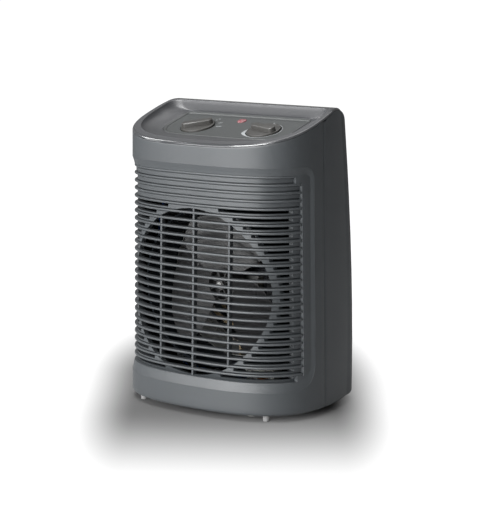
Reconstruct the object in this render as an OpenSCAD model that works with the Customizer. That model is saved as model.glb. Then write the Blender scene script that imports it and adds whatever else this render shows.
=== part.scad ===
// Portable upright fan heater: a D-shaped two-part casing with a louvred front,
// a dished control panel on a sloping top, an axial fan and a wire heating element.
// +X is the heater's left-to-right, +Y points to its back, +Z is up. The origin lies
// on the floor, under the middle of the casing.

/* [Casing] */
// Greatest width, just over the feet
casing_w = 207; // [204:0.5:212]
// Greatest depth, just over the feet
casing_d = 156.6; // [155:0.1:160]
// How much narrower the casing is at the top, on each side
side_draft = 4; // [2:0.5:5]
// Backward lean of the front from bottom to top
front_lean = 5; // [4:0.5:6]
// Forward lean of the back from bottom to top
back_lean = 14.8; // [12:0.1:16]
// Height of the front edge of the top
front_h = 258; // [256:1:259]
// Slope of the top, rising to the back, in degrees
top_slope = 17.4; // [16:0.1:18]
// Radius over which the top rounds into the back
back_round_r = 36; // [34:1:37]
// Thickness of the moulded walls
wall = 2.4; // [2:0.1:2.8]
// Gap between the casing and the floor
floor_gap = 6; // [5:0.5:7]

/* [Front grille] */
// Number of louvre slats
slat_count = 26; // [26:1:26]
// Distance from one slat to the next
slat_pitch = 7.4; // [7.2:0.1:7.4]
// Height of a slat's front edge
slat_t = 2; // [1.6:0.1:2.6]
// Height of the lowest slat
slat_low_z = 43.7; // [43:0.1:45]
// Closed grooves at the top of the grille
closed_rows = 4; // [2:1:6]
// Radius of the round window behind the slats
window_r = 79; // [76:0.5:80]
// Depth of the grooves between the slats
groove = 3.4; // [2.5:0.1:4]

/* [Control panel] */
// Slope of the control plate, in degrees
fascia_slope = 15.6; // [15:0.1:16]
// Distance of each knob from the middle
knob_x = 38.5; // [36:0.5:41]
// Radius of a knob
knob_r = 16.5; // [15:0.5:18.5]
// Radius of the pilot lens
lens_r = 4.6; // [4:0.1:5]
// Angle of the function knob's grip, in degrees
function_grip_a = 34; // [-45:1:45]
// Angle of the thermostat knob's grip, in degrees
thermostat_grip_a = -14; // [-45:1:45]

/* [Fan and motor] */
// Height of the fan's axis over the floor
fan_z = 117; // [116:0.5:118]
// Radius of the fan
fan_r = 69.5; // [60:0.5:70]
// Inner radius of the duct round the fan
duct_r = 75; // [72:0.5:76]
// Number of blades
blade_count = 3; // [2:1:3]
// Angle of a blade to the plane of the fan, in degrees
blade_pitch = 24; // [15:1:26]
// Radius of the motor shaft
shaft_r = 2.5; // [2.5:0.1:2.7]

/* [Hidden] */
$fn = 48;

body_grey = [0.30, 0.31, 0.32];
knob_grey = [0.36, 0.35, 0.33];
blade_grey = [0.42, 0.40, 0.39];
steel = [0.72, 0.72, 0.74];

// Casing outline, as functions of height
low_z = 9;                       // where the casing is widest
top_z = front_h - 4;
part_y = -3;                     // plane where the front and rear shells meet
front_n = 2.64;                  // exponent of the bowed front, low down
front_n_top = 2.98;              // and at the top
corner_r = 29;                   // rear corners, low down
corner_r_top = 20;
taper_low = 16.3;                // how far the sides close in towards the back
taper_top = 20.4;
side_belly = 7;                  // the sides' fullness at half height
taper_run = 74;                  // distance behind the parting plane where the taper is measured
edge_inset = 2.6;                // the rounded lower edge
half_d = casing_d / 2;
function rise(z) = (z - low_z) / (top_z - low_z);
function mix(a, b, t) = a + (b - a) * t;
function half_w(z) = casing_w / 2 - side_draft * rise(z);
function front_y(z) = -half_d + front_lean * rise(z);
function rear_y(z) = half_d - back_lean * rise(z);
function bow(z) = mix(front_n, front_n_top, rise(z));
function taper(z) = mix(taper_low, taper_top, rise(z)) - side_belly * 4 * rise(z) * (1 - rise(z));
function corner(z) = mix(corner_r, corner_r_top, rise(z));

// Right half of a D-shaped ring: bowed front, tapering side, round rear corner
front_steps = 16;
side_steps = 3;
corner_steps = 5;
function bowed(w, yf, yp, n, a) = [w * pow(sin(a), 2 / n), yp - (yp - yf) * pow(cos(a), 2 / n)];
function side_x(w, yp, tap, y) = w - tap * pow((y - yp) / taper_run, 2);
function right_half(w, yf, yp, yr, n, tap, r) = let (xe = side_x(w, yp, tap, yr - r)) concat(
    [for (k = [1:front_steps]) bowed(w, yf, yp, n, min(90 * k / front_steps, 89.99))],
    [for (k = [1:side_steps]) let (y = mix(yp, yr - r, k / side_steps)) [side_x(w, yp, tap, y), y]],
    [for (k = [1:corner_steps]) let (a = 90 * k / corner_steps)
        [xe - r + r * cos(a), yr - r + r * sin(a)]]);
function mirrored(points) = [for (i = [len(points) - 1:-1:0]) [-points[i][0], points[i][1]]];
function ring(w, yf, yp, yr, n, tap, r) = let (h = right_half(w, yf, yp, yr, n, tap, r))
    concat(mirrored(h), [[0, yf]], h);
function casing_ring(z, inset = 0) = ring(half_w(z) - inset, front_y(z) + inset, part_y,
    rear_y(z) - inset, bow(z), taper(z), corner(z) - inset / 2);
function lifted(flat, z) = [for (p = flat) [p[0], p[1], z]];

// The top: a sloping plane that rounds into the back, seen from the side
rim_slope = tan(top_slope);
back_slope = back_lean / (top_z - low_z);
rim_y = -70.2;                   // where the front edge of the top stands
function arc_z(r, plane) = (plane - r / cos(top_slope) + rim_slope
    * (half_d + back_slope * low_z - r * sqrt(1 + back_slope * back_slope)))
    / (1 + rim_slope * back_slope);
plane_z0 = front_h - rim_slope * rim_y;
round_z = arc_z(back_round_r, plane_z0);
round_y = (round_z - plane_z0 + back_round_r / cos(top_slope)) / rim_slope;
function roof(y, drop = 0) = let (r = back_round_r - drop, t = y - round_y)
    t < -r * sin(top_slope) ? plane_z0 + rim_slope * y - drop / cos(top_slope)
    : t < r ? round_z + sqrt(r * r - t * t) : round_z;
panel_lip = 2.1;                 // depth of the top panel's edge
back_skirt = 1;                  // how far the panel reaches down the back
function seam(y) = let (past = y - round_y - back_round_r + panel_lip)
    past > 0 ? round_z - back_skirt * min(1, past / 2) : roof(y, panel_lip);

// Faces between two strips of points, as triangles that face outwards
function quad(a, b, c, d) = [[a, b, c], [a, c, d]];
function flat_list(lists) = [for (l = lists) for (v = l) v];

// A solid between stacked rings, which are mirror images left to right
module loft(rings) {
    n = len(rings[0]);
    m = len(rings);
    sides = flat_list([for (k = [0:m - 2]) for (i = [0:n - 1]) let (j = (i + 1) % n)
        quad(k * n + i, (k + 1) * n + i, (k + 1) * n + j, k * n + j)]);
    low = flat_list([for (i = [0:floor(n / 2) - 1])
        i + 1 == n - 2 - i ? [[i, i + 1, n - 1 - i]]
        : i + 1 > n - 2 - i ? [] : quad(i, i + 1, n - 2 - i, n - 1 - i)]);
    high = [for (f = low) [f[2] + (m - 1) * n, f[1] + (m - 1) * n, f[0] + (m - 1) * n]];
    polyhedron(points = flat_list(rings), faces = concat(sides, low, high));
}

// An open wall between matching grids of points, [station][level]
module open_wall(outer, inner) {
    n = len(outer);
    m = len(outer[0]);
    b = n * m;
    e = (n - 1) * m;
    skins = flat_list([for (i = [0:n - 2]) for (j = [0:m - 2]) let (p = i * m + j)
        concat(quad(p, p + 1, p + m + 1, p + m), quad(b + p, b + p + m, b + p + m + 1, b + p + 1))]);
    edges = flat_list([for (i = [0:n - 2]) let (p = i * m, q = p + m - 1)
        concat(quad(p, p + m, b + p + m, b + p), quad(q, b + q, b + q + m, q + m))]);
    ends = flat_list([for (j = [0:m - 2])
        concat(quad(j + 1, j, b + j, b + j + 1), quad(e + j, e + j + 1, b + e + j + 1, b + e + j))]);
    polyhedron(points = concat(flat_list(outer), flat_list(inner)), faces = concat(skins, edges, ends));
}

// Shell walls follow the casing's rings from the lower edge up to the seam
wall_rise = [0, 0.012, 0.12, 0.3, 0.5, 0.7, 0.88, 1];
function wall_point(i, f, inset) = let (
    z = floor_gap + f * (seam(casing_ring(top_z)[i][1]) - floor_gap),
    p = casing_ring(z, inset + (f == 0 ? edge_inset : 0))[i]) [p[0], p[1], z];
function wall_grid(stations, inset) = [for (i = stations)
    [for (f = wall_rise) wall_point(i, f, inset)]];
ring_n = 2 * (front_steps + side_steps + corner_steps) + 1;
front_i = side_steps + corner_steps;
front_stations = [for (i = [front_i:ring_n - 1 - front_i]) i];
rear_stations = concat([for (i = [ring_n - 1 - front_i:ring_n - 1]) i], [for (i = [0:front_i]) i]);

// The rear shell's front edge is bevelled, so that the parting line shows as a narrow light strip
bevel_in = 1.2;
bevel_depth = 3.4;
function edge_column(s, depth, inset) = [for (f = wall_rise) let (
    y = part_y + depth,
    z = floor_gap + f * (seam(y) - floor_gap),
    x = side_x(half_w(z) - inset - (f == 0 ? edge_inset : 0), part_y, taper(z), y)) [s * x, y, z]];
function rear_grid(inset, bevel) = concat(
    [edge_column(1, 0, inset + bevel), edge_column(1, bevel_depth, inset)],
    wall_grid([for (k = [1:len(rear_stations) - 2]) rear_stations[k]], inset),
    [edge_column(-1, bevel_depth, inset), edge_column(-1, 0, inset + bevel)]);

// Cylinders and holes along Y, from y = a to y = b
module along_y(x, z, a, b, r) translate([x, a, z]) rotate([-90, 0, 0]) cylinder(h = b - a, r = r);
module ring_y(z, a, b, r_out, r_in) difference() {
    along_y(0, z, a, b, r_out);
    along_y(0, z, a - 1, b + 1, r_in);
}
module both_sides() { children(); mirror([1, 0, 0]) children(); }

// The grille's place in the front shell, seen from the side: straight, with round rear corners
grille_z = [28, 237];
grille_back_y = -18;
grille_low_r = 24;
grille_top_r = 12;
module side_window(gap = 0) {
    y1 = grille_back_y - gap;
    z1 = grille_z[0] + gap;
    z2 = grille_z[1] - gap;
    rotate([90, 0, 90]) linear_extrude(height = casing_w + 20, center = true) union() {
        translate([-half_d - 10, z1]) square([y1 - grille_low_r + half_d + 10, z2 - z1 - grille_top_r]);
        translate([-half_d - 10, z1 + grille_low_r])
            square([y1 + half_d + 10, z2 - z1 - grille_low_r - grille_top_r]);
        translate([-half_d - 10, z2 - grille_top_r])
            square([y1 - grille_top_r + half_d + 10, grille_top_r]);
        translate([y1 - grille_low_r, z1 + grille_low_r]) circle(r = grille_low_r);
        translate([y1 - grille_top_r, z2 - grille_top_r]) circle(r = grille_top_r);
    }
}

// Casing screws join the shells from behind, at these places
casing_screw_x = 66;
casing_screw_z = [34, 232];
casing_boss_r = 5;
front_boss_y = -16;
screw_head_y = 12;               // depth that the screw heads sit at, inside the rear bosses
base_screw_x = 60;
base_screw_y = [-62, 62];
base_boss_top = 24;
plate_t = 2.4;
plate_low_z = floor_gap + 0.6;

boss_web_y = 7;                  // depth of the webs that tie the bosses to the walls
module boss_web(z, depth) translate([casing_screw_x, part_y + min(0, depth), z - 1])
    cube([half_w(z) - wall / 2 - casing_screw_x, abs(depth), 2]);

module front_shell() color(body_grey) difference() {
    union() {
        difference() {
            open_wall(wall_grid(front_stations, 0), wall_grid(front_stations, wall));
            side_window();
        }
        both_sides() {
            for (z = casing_screw_z) {
                along_y(casing_screw_x, z, front_boss_y, part_y, casing_boss_r);
                boss_web(z, -boss_web_y);
            }
            translate([base_screw_x, base_screw_y[0], plate_low_z + plate_t])
                cylinder(h = base_boss_top - plate_low_z - plate_t, r = 4.5);
            translate([base_screw_x - 1, base_screw_y[0] - 7.5, plate_low_z + plate_t])
                cube([2, 6, base_boss_top - plate_low_z - plate_t]);
        }
    }
    both_sides() {
        for (z = casing_screw_z) along_y(casing_screw_x, z, front_boss_y + 2, part_y + 1, 1.5);
        translate([base_screw_x, base_screw_y[0], plate_low_z]) cylinder(h = 14, r = 1.5);
    }
}

// Air intake in the back: rows of slots inside a circle, between upright bars
intake_r = 66;
intake_pitch = 9;
intake_rows = 14;
intake_bars = [-66, -33, 0, 33, 66];
module intake_slots() for (k = [0:intake_rows - 1]) {
    z = fan_z + (k - (intake_rows - 1) / 2) * intake_pitch;
    reach = sqrt(intake_r * intake_r - pow(z - fan_z, 2));
    for (b = [0:len(intake_bars) - 2]) {
        x1 = max(-reach, intake_bars[b] + 1.5);
        x2 = min(reach, intake_bars[b + 1] - 1.5);
        if (x2 - x1 > 4) translate([x1, 50, z - 2.3]) cube([x2 - x1, 40, 4.6]);
    }
}

grip_z = [218, 240];             // finger recess across the back
grip_half_x = 46;
grip_y = 38;                     // how far in the recess reaches
cord_x = 40;
cord_z = 26;
cord_bush_r = 6;
duct_lug = 66;                   // duct fixings stand this far off the axis, both ways
duct_back_y = 36;

module rear_shell() color(body_grey) difference() {
    union() {
        open_wall(rear_grid(0, bevel_in), rear_grid(wall, 0));
        translate([-grip_half_x - wall, grip_y - wall, grip_z[0] - wall])
            cube([2 * (grip_half_x + wall), rear_y(grip_z[1]) - grip_y, grip_z[1] - grip_z[0] + 2 * wall]);
        both_sides() {
            for (z = casing_screw_z) {
                along_y(casing_screw_x, z, part_y, rear_y(z) - wall / 2, casing_boss_r + 0.8);
                boss_web(z, boss_web_y);
            }
            for (z = [fan_z - duct_lug, fan_z + duct_lug])
                along_y(duct_lug, z, duct_back_y, rear_y(z) - wall / 2, 5);
            translate([base_screw_x, base_screw_y[1], plate_low_z + plate_t])
                cylinder(h = base_boss_top - plate_low_z - plate_t, r = 4.5);
            translate([base_screw_x - 1, base_screw_y[1], plate_low_z + plate_t])
                cube([2, 14, base_boss_top - plate_low_z - plate_t]);
        }
        along_y(cord_x, cord_z, 62, rear_y(cord_z) - wall / 2, cord_bush_r + 2.5);
    }
    intake_slots();
    translate([-grip_half_x, grip_y, grip_z[0]]) cube([2 * grip_half_x, 60, grip_z[1] - grip_z[0]]);
    along_y(cord_x, cord_z, 50, 90, cord_bush_r);
    both_sides() {
        for (z = casing_screw_z) {
            along_y(casing_screw_x, z, part_y - 1, screw_head_y + 1, 2.1);
            along_y(casing_screw_x, z, screw_head_y, 90, 3.9);
        }
        for (z = [fan_z - duct_lug, fan_z + duct_lug])
            along_y(duct_lug, z, duct_back_y - 1, duct_back_y + 16, 1.5);
        translate([base_screw_x, base_screw_y[1], plate_low_z]) cylinder(h = 14, r = 1.5);
    }
}

// Grille: a curved plate sunk below the slats' noses, with a round window and side slots
nose_inset = 1.9;                // slat noses lie this far inside the casing's skin
plate_inset = nose_inset + groove;
grille_t = 2.2;
groove_end_a = 73;               // where along the bow the grooves stop
slot_margin = 4.5;               // solid ring between the window and the slots
slot_near_x = 24;
slot_far_x = 95.2;
slot_end_y = -39;
slot_drop = 0.4;                 // slots start this far below the middle of the groove
slot_h = 3.1;
slat_high_z = slat_low_z + (slat_count - 1) * slat_pitch;
lip_inset = 0.3;                 // the insert's outer edge lies this far inside the casing's skin
lip_side = 4.2;                  // width of the slope from that edge in to the noses' level
lip_low = 9;
lip_top = 6.5;
groove_z = [grille_z[0] + lip_low, grille_z[1] - lip_top];
grille_levels = [grille_z[0], groove_z[0], groove_z[0] + 1.2, slat_high_z, groove_z[1], grille_z[1]];
lip_angles = [groove_end_a + 2, 78, 80, 82, 84, 86];
grille_angles = concat([for (i = [len(lip_angles) - 1:-1:0]) -lip_angles[i]],
    [for (k = [-9:9]) groove_end_a * k / 9], lip_angles);
function lip(y, z) = mix(lip_inset, nose_inset, max(0, min(1, (grille_back_y - y) / lip_side,
    (z - grille_z[0]) / lip_low, (grille_z[1] - z) / lip_top)));
function in_groove(a, z) = abs(a) < groove_end_a + 1 && z > groove_z[0] && z < groove_z[1];
function bow_point(z, a, inset) = let (s = sign(a),
    p = bowed(half_w(z) - inset, front_y(z) + inset, part_y, bow(z), abs(a))) [s * p[0], p[1], z];
function grille_grid(extra) = [for (a = grille_angles) [for (z = grille_levels)
    bow_point(z, a, extra + (in_groove(a, z) ? plate_inset : lip(bow_point(z, a, 0)[1], z)))]];
slat_back_inset = plate_inset + 1.2;
slat_steps = 10;
module slat(z) {
    arc = [for (k = [-slat_steps:slat_steps]) (groove_end_a + 1) * k / slat_steps];
    nose = [for (a = arc) let (p = bow_point(z, a, nose_inset)) [p[0], p[1]]];
    heel = [for (i = [len(arc) - 1:-1:0]) let (p = bow_point(z, arc[i], slat_back_inset)) [p[0], p[1]]];
    translate([0, 0, z - slat_t / 2]) linear_extrude(height = slat_t) polygon(concat(nose, heel));
}
rib_w = 1.9;
rib_x = window_r / 2;
rib_depth = 5;
module grille_rib(x) {
    y = bow_point(slat_low_z, asin(pow(abs(x) / half_w(slat_low_z), bow(slat_low_z) / 2)), nose_inset)[1];
    lean = atan(front_lean / (top_z - low_z));
    translate([x, y + 2.4, slat_low_z]) rotate([-lean, 0, 0])
        translate([-rib_w / 2, 0, -3]) cube([rib_w, rib_depth, slat_count * slat_pitch - 6]);
}
tongue = 4;                      // flange behind the front shell's wall, which the insert snaps in by
tongue_inset = [wall + 0.1, wall + 1.5];
function tongue_grid(inset) = [for (k = [-12:12])
    [for (f = [0:0.25:1]) bow_point(mix(grille_z[0] - tongue, grille_z[1] + tongue, f), 87 * k / 12, inset)]];
module front_grille() color(body_grey) union() {
    difference() {
        intersection() {
            open_wall(tongue_grid(tongue_inset[0]), tongue_grid(tongue_inset[1]));
            side_window(-tongue);
        }
        side_window(tongue);
    }
    difference() {
        intersection() {
            open_wall(grille_grid(0), grille_grid(grille_t));
            side_window(0.3);
        }
        along_y(0, fan_z, -100, -20, window_r);
        for (k = [0:slat_count - closed_rows - 1]) {
            z = slat_low_z - slat_pitch / 2 + k * slat_pitch;
            gap = window_r + slot_margin;
            inner = abs(z - fan_z) < gap ? sqrt(gap * gap - pow(z - fan_z, 2)) : 0;
            near = max(inner, slot_near_x);
            both_sides() translate([near, -100, z - slot_drop])
                cube([slot_far_x - near, 100 + slot_end_y, slot_h]);
        }
    }
    for (k = [0:slat_count - 1]) slat(slat_low_z + k * slat_pitch);
    for (x = [-rib_x, 0, rib_x]) grille_rib(x);
}

// Control plate: a D-shaped plate on the floor of the dished top
knob_y = -12;
fascia_z = 266.7;                // height of the plate's rim on the knobs' line
fascia_t = 3.4;
floor_t = 2;
fascia_back_y = 20.1;
fascia_front_y = -36.5;
fascia_w = 73;
fascia_side_y = 12;
fascia_n = 5.5;
fascia_corner_r = 5;
face_drop = 1.4;                 // the plate's face lies this far below its bevelled rim
rim_bevel = [[1.7, 0.5], [2.8, face_drop]];
knob_recess = face_drop + 1;
recess_gap = 1;                  // room round a knob
screw_head_h = 0.9;
spindle_r = 3;
function fascia_h(y) = fascia_z + tan(fascia_slope) * (y - knob_y);
function tilted(flat, drop) = [for (p = flat) [p[0], p[1], fascia_h(p[1]) - drop]];
function fascia_ring(grow) = ring(fascia_w + grow, fascia_front_y - grow, fascia_side_y,
    fascia_back_y + grow, fascia_n, 0, fascia_corner_r + grow);
module on_fascia(x = 0, v = 0, w = 0) translate([0, knob_y, fascia_z]) rotate([fascia_slope, 0, 0])
    translate([x, v, w]) children();
lens_v = 20;
lens_rim = 0.6 - face_drop;
control_screw_dx = 12;

module control_fascia() color([0.40, 0.42, 0.42]) difference() {
    loft(concat([tilted(fascia_ring(0), fascia_t), tilted(fascia_ring(0), 0)],
        [for (b = rim_bevel) tilted(fascia_ring(-b[0]), b[1])]));
    for (x = [-knob_x, knob_x]) {
        on_fascia(x, 0, -knob_recess) cylinder(h = 5, r = knob_r + recess_gap);
        on_fascia(x, 0, -8) cylinder(h = 10, r = spindle_r + 2);
        for (s = [-1, 1]) on_fascia(x + s * control_screw_dx, 0, -8) cylinder(h = 10, r = 1.7);
    }
    on_fascia(0, lens_v, -8) cylinder(h = 12, r = lens_r + 0.1);
}

// Top panel: a rim that follows the casing, round a bowl whose floor carries the control plate
bowl_front_y = -65;
bowl_back_y = 21;
bowl_w = 92.5;
bowl_side_y = 0;
function panel_ring(inset, drop) = [for (i = [0:ring_n - 1]) let (
    p0 = casing_ring(top_z, inset)[i], z = roof(p0[1]), p = casing_ring(z, inset)[i])
    [p[0], p[1], roof(p[1]) - drop]];
function seam_ring(inset) = [for (i = [0:ring_n - 1])
    let (z = seam(casing_ring(top_z)[i][1]), p = casing_ring(z, inset)[i]) [p[0], p[1], z]];
function on_roof(p) = [p[0], p[1], roof(p[1])];
function bowl_ring(grow) = [for (p = ring(bowl_w + grow, bowl_front_y - grow, bowl_side_y,
    bowl_back_y + grow, front_n_top, 3, 12 + grow)) on_roof(p)];
rim_round = 1.5;                 // rounding of the rim's outer edge
rim_steps = [0.02, 0.06, 0.13, 0.23, 0.37, 0.53, 0.7, 0.86];
function rim_ring(f) = let (a = panel_ring(rim_round, 0), b = bowl_ring(0))
    [for (i = [0:ring_n - 1]) on_roof(mix(a[i], b[i], f))];
skirt = 5;                       // how far the panel reaches down inside the shells
skirt_t = 1.6;
skirt_gap = 0.4;
function dropped(ring3, d) = [for (p = ring3) p - [0, 0, d]];
module top_panel() color([0.33, 0.34, 0.35]) difference() {
    union() {
        loft(concat([
            tilted(fascia_ring(2.4), fascia_t + floor_t),
            dropped(bowl_ring(1.6), 4),
            dropped(panel_ring(wall + skirt_gap + skirt_t, panel_lip), 1),
            dropped(seam_ring(wall + skirt_gap + skirt_t), skirt),
            dropped(seam_ring(wall + skirt_gap), skirt),
            seam_ring(wall + skirt_gap),
            seam_ring(0),
            panel_ring(0, rim_round),
            panel_ring(rim_round, 0)],
            [for (f = rim_steps) rim_ring(f)], [
            bowl_ring(0),
            tilted(fascia_ring(0.9), 0.2),
            tilted(fascia_ring(0.3), 0.5),
            tilted(fascia_ring(0.3), fascia_t)]));
    }
    for (x = [-knob_x, knob_x]) {
        on_fascia(x, 0, -12) cylinder(h = 15, r = spindle_r + 2);
        for (s = [-1, 1]) on_fascia(x + s * control_screw_dx, 0, -12) cylinder(h = 15, r = 1.7);
    }
    on_fascia(0, lens_v, -12) cylinder(h = 15, r = lens_r + 0.1);
}

module pilot_lens() color([0.85, 0.15, 0.2]) on_fascia(0, lens_v) difference() {
    union() {
        translate([0, 0, -13]) cylinder(h = 13 + lens_rim, r = lens_r);
        translate([0, 0, lens_rim]) cylinder(h = 0.9, r1 = lens_r, r2 = lens_r - 1.2);
    }
    translate([0, 0, -14]) cylinder(h = 12, r = 3);
}
module pilot_lamp() color([0.9, 0.6, 0.4]) on_fascia(0, lens_v) {
    translate([0, 0, -16]) cylinder(h = 13, r = 2.9);
}

// Rotary switch and thermostat, screwed to the underside of the bowl
switch_top = -fascia_t - floor_t;
switch_h = 22;
module switch_case(x) on_fascia(x, 0, switch_top) difference() {
    union() {
        translate([-16, -13, -switch_h]) cube([32, 26, switch_h]);
        for (s = [-1, 1], v = [-8, 8]) translate([s * 17.6 - 1.6, v - 3, -switch_h - 7]) cube([3.2, 6, 12]);
    }
    translate([0, 0, -switch_h + 4]) cylinder(h = 30, r = spindle_r + 0.05);
    for (s = [-1, 1]) translate([s * control_screw_dx, 0, -12]) cylinder(h = 20, r = 1.2);
}
module selector_switch() color([0.92, 0.90, 0.85]) switch_case(-knob_x);
module thermostat_body() color([0.85, 0.83, 0.78]) switch_case(knob_x);
module control_screws() color(steel) for (x = [-knob_x, knob_x], s = [-1, 1])
    on_fascia(x + s * control_screw_dx, 0) {
        translate([0, 0, switch_top - 9]) cylinder(h = 9 - switch_top - knob_recess, r = 1.2);
        translate([0, 0, -knob_recess]) cylinder(h = screw_head_h, r = 2.6);
    }

// Knobs: a shallow dial, let into the plate, with a straight grip bar across it
knob_low = -knob_recess + 0.2;
dial_top = 0.3;
grip_top = 4.3;
grip_w = 8.4;
knob_edge = 0.8;                 // bevel of the dial's edge
cup_top = -knob_recess + screw_head_h + 0.4;
bore_top = 2.6;
module knob(x, grip_a) on_fascia(x, 0) difference() {
    union() {
        translate([0, 0, knob_low]) cylinder(h = dial_top - knob_edge - knob_low, r = knob_r);
        translate([0, 0, dial_top - knob_edge]) cylinder(h = knob_edge, r1 = knob_r, r2 = knob_r - knob_edge);
        rotate([0, 0, grip_a]) intersection() {
            translate([-knob_r, -grip_w / 2, cup_top + 0.5]) cube([2 * knob_r, grip_w, grip_top - cup_top - 0.5]);
            cylinder(h = 30, r = knob_r - 1.4, center = true);
        }
    }
    translate([0, 0, knob_low - 1]) cylinder(h = bore_top - knob_low + 1, r = spindle_r);
    translate([0, 0, knob_low - 1]) difference() {
        cylinder(h = cup_top - knob_low + 1, r = knob_r - 1.5);
        translate([0, 0, -1]) cylinder(h = cup_top - knob_low + 3, r = spindle_r + 2.5);
    }
    rotate([0, 0, grip_a]) translate([knob_r - 9, -0.7, grip_top - 0.6]) cube([5, 1.4, 2]);
}
module spindle(x) on_fascia(x, 0, switch_top - switch_h + 4.2)
    cylinder(h = switch_h - switch_top - 4.2 + bore_top - 0.2, r = spindle_r);
module function_knob() color(knob_grey) knob(-knob_x, function_grip_a);
module thermostat_knob() color(knob_grey) knob(knob_x, thermostat_grip_a);
module function_spindle() color(steel) spindle(-knob_x);
module thermostat_spindle() color(steel) spindle(knob_x);

// Base plate, which closes the casing from below, and its feet
foot_front = [72.4, -55.2];
foot_rear = [66, 56];
foot_stem_r = 2;
foot_r = 3.4;
module base_plate() color(body_grey) difference() {
    loft([lifted(casing_ring(plate_low_z, edge_inset + wall + 0.3), plate_low_z),
        lifted(casing_ring(plate_low_z, edge_inset + wall + 0.3), plate_low_z + plate_t)]);
    both_sides() {
        for (p = [foot_front, foot_rear]) translate([p[0], p[1], 0]) cylinder(h = 20, r = foot_stem_r);
        for (y = base_screw_y) translate([base_screw_x, y, 0]) cylinder(h = 20, r = 1.8);
    }
}
module foot(p) color([0.12, 0.12, 0.13]) translate([p[0], p[1], 0]) {
    cylinder(h = floor_gap - 0.3, r1 = foot_r - 0.4, r2 = foot_r);
    translate([0, 0, floor_gap - 0.3]) cylinder(h = plate_low_z + plate_t - floor_gap + 0.3, r = foot_stem_r);
    translate([0, 0, plate_low_z + plate_t]) cylinder(h = 1.4, r = foot_stem_r + 0.8);
}
module foot_front_left() foot([-foot_front[0], foot_front[1]]);
module foot_front_right() foot(foot_front);
module foot_rear_left() foot([-foot_rear[0], foot_rear[1]]);
module foot_rear_right() foot(foot_rear);

// Duct round the fan, screwed to four pillars of the rear shell
duct_front_y = -44;
duct_t = 2;
flange_t = 3;
flange_r = 90;
module fan_duct() color([0.16, 0.16, 0.17]) difference() {
    union() {
        ring_y(fan_z, duct_front_y, duct_back_y, duct_r + duct_t, duct_r);
        ring_y(fan_z, duct_back_y - flange_t, duct_back_y, flange_r, duct_r);
        both_sides() for (z = [fan_z - duct_lug, fan_z + duct_lug])
            along_y(duct_lug, z, duct_back_y - flange_t, duct_back_y, 7);
    }
    both_sides() for (z = [fan_z - duct_lug, fan_z + duct_lug]) along_y(duct_lug, z, 0, 60, 2.1);
    for (a = [0:90:270]) rotate_about_axis(a) along_y(spider_screw_r, fan_z, 0, 60, 1.3);
}
module rotate_about_axis(a) translate([0, 0, fan_z]) rotate([0, a, 0]) translate([0, 0, -fan_z]) children();

// Steel ring inside the duct: it holds the element and keeps its heat off the duct
spider_screw_r = 83;
ring_gap = 0.4;
ring_t = 0.8;
ring_front_y = 0;
heater_outer_r = duct_r - ring_gap;
module heater_ring() color(steel) difference() {
    union() {
        ring_y(fan_z, ring_front_y, duct_back_y + ring_t, heater_outer_r, heater_outer_r - ring_t);
        ring_y(fan_z, duct_back_y, duct_back_y + ring_t, flange_r - 2, heater_outer_r - ring_t);
    }
    for (a = [0:90:270]) rotate_about_axis(a) along_y(spider_screw_r, fan_z, 0, 60, 1.7);
    both_sides() for (z = [fan_z - duct_lug, fan_z + duct_lug]) along_y(duct_lug, z, 0, 60, 8);
}

// Spider: four arms across the back of the duct that carry the motor
spider_y = duct_back_y + ring_t;
spider_t = 2;
hub_plate_r = 24;
motor_bolt_x = 20;
module motor_spider() color(steel) difference() {
    union() {
        ring_y(fan_z, spider_y, spider_y + spider_t, flange_r - 3, duct_r + 2);
        along_y(0, fan_z, spider_y, spider_y + spider_t, hub_plate_r);
        for (a = [0:90:270]) rotate_about_axis(a)
            translate([hub_plate_r - 3, spider_y, fan_z - 6]) cube([duct_r + 6 - hub_plate_r, spider_t, 12]);
    }
    along_y(0, fan_z, 0, 60, 9.5);
    for (a = [0:90:270]) rotate_about_axis(a) along_y(spider_screw_r, fan_z, 0, 60, 1.7);
    for (s = [-1, 1]) along_y(s * motor_bolt_x, fan_z, 0, 60, 1.8);
    both_sides() for (z = [fan_z - duct_lug, fan_z + duct_lug]) along_y(duct_lug, z, 0, 60, 8);
}

// Element: radial mica plates with two rings of coiled resistance wire through them
mica_count = 6;
mica_y = [4, 24];
mica_in_r = 45;
mica_t = 1.2;
mica_step = 0.8;
coil_y = 14;
coil_r = 2.4;
coil_rings = [52, 64];
mica_out_r = heater_outer_r - ring_t - 0.1;
module mica_frame() color([0.75, 0.72, 0.62]) difference() {
    union() {
        for (k = [0:mica_count - 1]) rotate_about_axis(30 + k * 360 / mica_count)
            translate([mica_in_r, mica_y[0], fan_z - mica_t / 2])
                cube([mica_out_r - mica_in_r, mica_y[1] - mica_y[0], mica_t]);
        for (y = [mica_y[0] + mica_step, mica_y[1] - mica_step - mica_t])
            ring_y(fan_z, y, y + mica_t, mica_in_r + 3, mica_in_r - 1);
    }
    for (k = [0:mica_count - 1], r = coil_rings) rotate_about_axis(30 + k * 360 / mica_count)
        translate([r, coil_y, fan_z - 3]) cylinder(h = 6, r = coil_r + 0.4);
}
module element_ring(r, tube) translate([0, coil_y, fan_z]) rotate([90, 0, 0])
    rotate_extrude() translate([r, 0]) circle(r = tube);
module heating_coil_inner() color([0.6, 0.55, 0.5]) element_ring(coil_rings[0], coil_r);
module heating_coil_outer() color([0.6, 0.55, 0.5]) element_ring(coil_rings[1], coil_r);
module thermal_cutout() color([0.85, 0.82, 0.75]) union() {
    along_y(0, fan_z + 58, spider_y - 9, spider_y, 8);
    along_y(0, fan_z + 58, spider_y - 11, spider_y - 9, 6);
}
module thermal_fuse() color([0.8, 0.8, 0.82])
    translate([-8, spider_y - 2.5, fan_z - 58]) rotate([0, 90, 0]) cylinder(h = 16, r = 2.5);

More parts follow.
